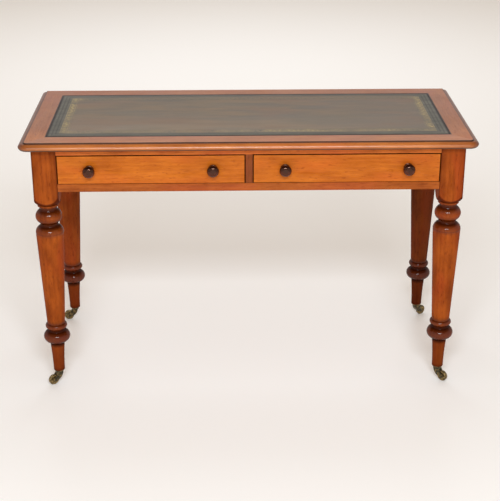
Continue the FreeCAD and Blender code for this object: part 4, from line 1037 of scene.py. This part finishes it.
class WRITING_TABLE_OT_legs(bpy.types.Operator):
    """Turns the four legs under their square blocks"""
    bl_idname = "writing_table.legs"
    bl_label = "Turned Legs"

    def execute(self, context):
        sizes = context.scene.writing_table_sizes
        finishes = context.scene.writing_table_finishes
        for index, corner in enumerate(CORNERS):
            node = "leg_" + corner
            low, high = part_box(node)
            middle = Vector(((low.x + high.x) / 2, (low.y + high.y) / 2, 0))
            mesh = leg_mesh(node + "_turned", middle, sizes.turning_facets, sizes.turning_ease)
            # The back legs' colours are scaled down as a painted shade
            darkened = LEG_SHADING[corner]
            material = wood("leg_mahogany", [c * darkened for c in finishes.leg_light],
                            [c * darkened for c in finishes.leg_dark], "Z", 1.7 + index * 1.9,
                            finishes.polish - 0.04, 0.6, figure=1.3, streak=0.5,
                            coat_roughness=0.12)
            show(mesh, CARCASS, material, [node])
        return {"FINISHED"}


# Frieze and drawers

class WRITING_TABLE_OT_frieze(bpy.types.Operator):
    """Finishes the rails round the drawers and the post between them"""
    bl_idname = "writing_table.frieze"
    bl_label = "Frieze Rails"

    def execute(self, context):
        sizes = context.scene.writing_table_sizes
        finishes = context.scene.writing_table_finishes
        for node, grain, seed in (("left_side_rail", "Y", 0.8), ("right_side_rail", "Y", 2.1),
                                  ("back_rail", "X", 3.3), ("front_top_rail", "X", 4.4),
                                  ("front_bottom_rail", "X", 5.2)):
            # The front top rail is painted half as light again: painted light standing in for the
            # light that the top's nose shades from it
            bright = 1.5 if node == "front_top_rail" else 1.0
            material = wood("rail_mahogany", [c * bright for c in finishes.rail_light],
                            [c * bright for c in finishes.rail_dark], grain, seed, finishes.polish)
            softened(node, sizes.arris, CARCASS, material,
                     shade_gaps=node.startswith("front"))
        material = wood("post_mahogany", finishes.post_light, finishes.post_dark, "Z", 6.1,
                        finishes.polish)
        softened("drawer_divider", sizes.arris, CARCASS, material, shade_gaps=True)
        return {"FINISHED"}


class WRITING_TABLE_OT_drawers(bpy.types.Operator):
    """Finishes the drawer fronts and the dovetailed linings behind them"""
    bl_idname = "writing_table.drawers"
    bl_label = "Drawers"

    def execute(self, context):
        sizes = context.scene.writing_table_sizes
        finishes = context.scene.writing_table_finishes
        for index, drawer in enumerate(DRAWERS):
            body = drawer + "_drawer"
            front = wood("drawer_mahogany", finishes.drawer_light, finishes.drawer_dark, "X",
                         1.1 + index * 3.4, finishes.polish, figure=0.8, streak=0.6)
            softened(body + "_front", sizes.arris, body, front, shade_gaps=True)
            for part, grain, seed in (("left_side", "Y", 0.5), ("right_side", "Y", 1.4),
                                      ("back", "X", 2.3)):
                lining = plain_wood("lining", finishes.lining, grain, seed + index)
                softened("%s_%s" % (body, part), sizes.arris * 0.5, body, lining)
            dress([body + "_bottom"], plain_wood("lining", finishes.lining, "X", 3.2 + index))
        return {"FINISHED"}


# Knobs

# Half the section of a knob: radius and height over the drawer front, in millimetres, and bulge
KNOB_PROFILE = [
    (5.0, -17.0), (5.0, 0.0), (12.2, 0.0), (12.2, 3.8, 1.4), (9.2, 5.0),
    (9.2, 10.0, -1.0), (16.2, 19.5, 2.6), (5.0, 28.0, 2.8), (0.4, 28.2),
]
# Height over which a knob darkens upwards, and how dark it is at its middle
KNOB_SHADE, SHADE_AT_MIDDLE = 0.006, 0.4


class WRITING_TABLE_OT_knobs(bpy.types.Operator):
    """Turns the four dark knobs"""
    bl_idname = "writing_table.knobs"
    bl_label = "Knobs"

    def execute(self, context):
        sizes = context.scene.writing_table_sizes
        points = eased(outline(KNOB_PROFILE), sizes.turning_ease * 0.8)
        # The knob's hollows get a painted shade with soiling
        hollows = hollowness(points)
        material = knob_wood()
        for drawer in DRAWERS:
            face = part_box(drawer + "_drawer_front")[0].y
            for hand in DRAWERS:
                node = "%s_drawer_%s_knob" % (drawer, hand)
                low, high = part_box(node)
                middle = Vector(((low.x + high.x) / 2, face, (low.z + high.z) / 2))
                place = Matrix.Translation(middle) @ Matrix.Rotation(math.pi / 2, 4, "X")
                rings = lathe(points, place, sizes.turning_facets // 2)
                mesh = skin(node + "_turned", rings, hollows)
                shades = [(vertex.co.z - middle.z) / KNOB_SHADE + SHADE_AT_MIDDLE
                          for vertex in mesh.vertices]
                paint(mesh, "stain", [min(1.0, max(0.0, shade)) for shade in shades])
                show(mesh, drawer + "_drawer", material, [node])
        return {"FINISHED"}


# Castors and joinery

class WRITING_TABLE_OT_castors(bpy.types.Operator):
    """Finishes the brass castors: plates, horns, axles and wheels"""
    bl_idname = "writing_table.castors"
    bl_label = "Brass Castors"

    def execute(self, context):
        sizes = context.scene.writing_table_sizes
        cast = brass_finish("cast_brass", -0.07)
        rolled = brass_finish("rubbed_brass", 0.06)
        for corner in CORNERS:
            swivel = "castor_swivel_" + corner
            for part, body in (("plate", CARCASS), ("horn", swivel), ("axle", swivel),
                               ("wheel", "castor_wheel_body_" + corner)):
                softened("castor_%s_%s" % (part, corner), sizes.brass_ease, body,
                         rolled if part == "wheel" else cast, limit=35)
        return {"FINISHED"}


class WRITING_TABLE_OT_joinery(bpy.types.Operator):
    """Finishes the runners, guides, kickers, stops, blocks and screws inside the frieze"""
    bl_idname = "writing_table.joinery"
    bl_label = "Hidden Joinery"

    def execute(self, context):
        finishes = context.scene.writing_table_finishes
        for index, place in enumerate(("left", "centre", "right")):
            dress(["%s_%s" % (place, part) for part in ("runner", "guide", "kicker")],
                  plain_wood("carcass", finishes.carcass, "Y", 0.6 + index))
        dress(["drawer_stops", "glue_blocks"], plain_wood("carcass", finishes.carcass, "X", 4.0))
        dress(["top_screws"], steel_finish())
        return {"FINISHED"}


# Stage

# Each lamp's width and height, its place, what it looks at, and whether polish mirrors it
LAMPS = {
    "key": ((1.8, 0.6), (0.0, -3.29, 2.75), (0.0, 0.0, 0.45), True),
    "fill": ((4.0, 1.6), (0.0, -5.8, 1.4), (0.0, 0.0, 0.6), False),
    "back": ((3.0, 1.5), (0.0, 3.3, 3.4), (0.0, 3.1, 0.0), False),
}
LAMP_COLOUR = (0.89, 0.965, 1.03)
# The room's colour as light on the pieces, and as the camera and reflections see it
ROOM_TINT, SEEN_TINT = (1.0, 0.83, 0.65), (0.985, 0.96, 0.94)
# How bright the room looks, and how bright its ceiling is in reflections
SEEN_ROOM, SEEN_CEILING = 0.84, 0.12
# How steeply up a reflection looks where the walls start to darken and where they end
WALL_LOW, WALL_HIGH = 0.45, 0.74
FLOOR_RADIUS = 14
CAMERA_PLACE = (-0.06694, TOP_LOW.y - 3.04248, 1.73642)
CAMERA_TURN = [math.radians(a) for a in (66.85, 0.0, -1.2908)]


def place_in_scene(name, data, location):
    """A new object for a light, the camera or the floor."""
    item = bpy.data.objects.new(name, data)
    item.location = location
    bpy.context.scene.collection.objects.link(item)
    return item


def room_light(tree, level):
    """Warm even light on the pieces; the camera and reflections see a pale room.

    Reflections see it darken from its walls up to its ceiling.
    """
    room = Nodes(tree)
    path = room.node("LightPath").outputs
    where = room.node("TexCoord").outputs["Generated"]
    height = room.node("SeparateXYZ", {0: where}).outputs[2]
    wall = room.spread(height, WALL_LOW, WALL_HIGH, SEEN_ROOM, SEEN_CEILING)
    straight = room.sum("MAXIMUM", path["Is Camera Ray"], path["Is Transmission Ray"])
    seen = room.sum("MAXIMUM", straight, path["Is Glossy Ray"])
    pale = room.node("Mix", {0: path["Is Glossy Ray"], 2: SEEN_ROOM, 3: wall}).outputs[0]
    strength = room.node("Mix", {0: seen, 2: level, 3: pale}).outputs[0]
    background = tree.nodes["Background"]
    room.feed(background.inputs["Color"], room.mix(seen, opaque(ROOM_TINT), opaque(SEEN_TINT)))
    room.feed(background.inputs["Strength"], strength)


class WRITING_TABLE_OT_stage(bpy.types.Operator):
    """Sets up the pale floor, the soft light and the camera"""
    bl_idname = "writing_table.stage"
    bl_label = "Studio"

    def execute(self, context):
        scene = context.scene
        studio = scene.writing_table_studio
        finishes = scene.writing_table_finishes
        scene.view_settings.view_transform = "Standard"
        scene.world = bpy.data.worlds.new("studio_room")
        scene.world.use_nodes = True
        room_light(scene.world.node_tree, studio.room)
        floor = bpy.data.meshes.new("studio_floor")
        work = bmesh.new()
        bmesh.ops.create_circle(work, cap_ends=True, segments=96, radius=FLOOR_RADIUS)
        work.to_mesh(floor)
        work.free()
        finish = Finish("studio_floor")
        cloud = finish.noise(finish.where, 0.8)
        finish.set(Base_Color=finish.mix(cloud, tinted(finishes.floor, 0.985),
                                         opaque(finishes.floor)),
                   Roughness=0.9, Specular_IOR_Level=0.1)
        floor.materials.append(finish.material)
        place_in_scene("studio_floor", floor, (0, 0, 0))
        for name, (sheet, place, aim, mirrored) in LAMPS.items():
            data = bpy.data.lights.new(name + "_light", "AREA")
            data.shape = "RECTANGLE"
            data.size, data.size_y = sheet
            data.energy = getattr(studio, name)
            data.color = LAMP_COLOUR
            light = place_in_scene(name + "_light", data, place)
            light.visible_glossy = mirrored
            look = Vector(aim) - Vector(place)
            light.rotation_euler = look.to_track_quat("-Z", "Y").to_euler()
        data = bpy.data.cameras.new("camera")
        data.lens = studio.lens
        scene.camera = place_in_scene("camera", data, CAMERA_PLACE)
        scene.camera.rotation_euler = CAMERA_TURN
        return {"FINISHED"}


# Add-on

class WRITING_TABLE_PT_panel(bpy.types.Panel):
    """Settings and pieces of the writing table"""
    bl_idname = "WRITING_TABLE_PT_panel"
    bl_label = "Writing Table"
    bl_space_type = "VIEW_3D"
    bl_region_type = "UI"
    bl_category = "Writing Table"

    def draw(self, context):
        for operator in PIECES:
            self.layout.operator(operator.bl_idname)
        for group in GROUPS:
            settings = getattr(context.scene, "writing_table_" + group)
            box = self.layout.box()
            for name in settings.__annotations__:
                box.prop(settings, name)


PIECES = (WRITING_TABLE_OT_stage, WRITING_TABLE_OT_top, WRITING_TABLE_OT_leather,
          WRITING_TABLE_OT_legs, WRITING_TABLE_OT_frieze, WRITING_TABLE_OT_drawers,
          WRITING_TABLE_OT_knobs, WRITING_TABLE_OT_castors, WRITING_TABLE_OT_joinery)
GROUPS = {"sizes": WritingTableSizes, "finishes": WritingTableFinishes,
          "studio": WritingTableStudio}
CLASSES = (*GROUPS.values(), *PIECES, WRITING_TABLE_PT_panel)


def register():
    for item in CLASSES:
        bpy.utils.register_class(item)
    for name, group in GROUPS.items():
        setattr(bpy.types.Scene, "writing_table_" + name, PointerProperty(type=group))


def unregister():
    for name in GROUPS:
        delattr(bpy.types.Scene, "writing_table_" + name)
    for item in reversed(CLASSES):
        bpy.utils.unregister_class(item)


def make_table():
    """Makes every piece in order."""
    register()
    for operator in PIECES:
        getattr(bpy.ops.writing_table, operator.bl_idname.split(".")[1])()
    bpy.context.view_layer.update()


if __name__ == "__main__":
    make_table()
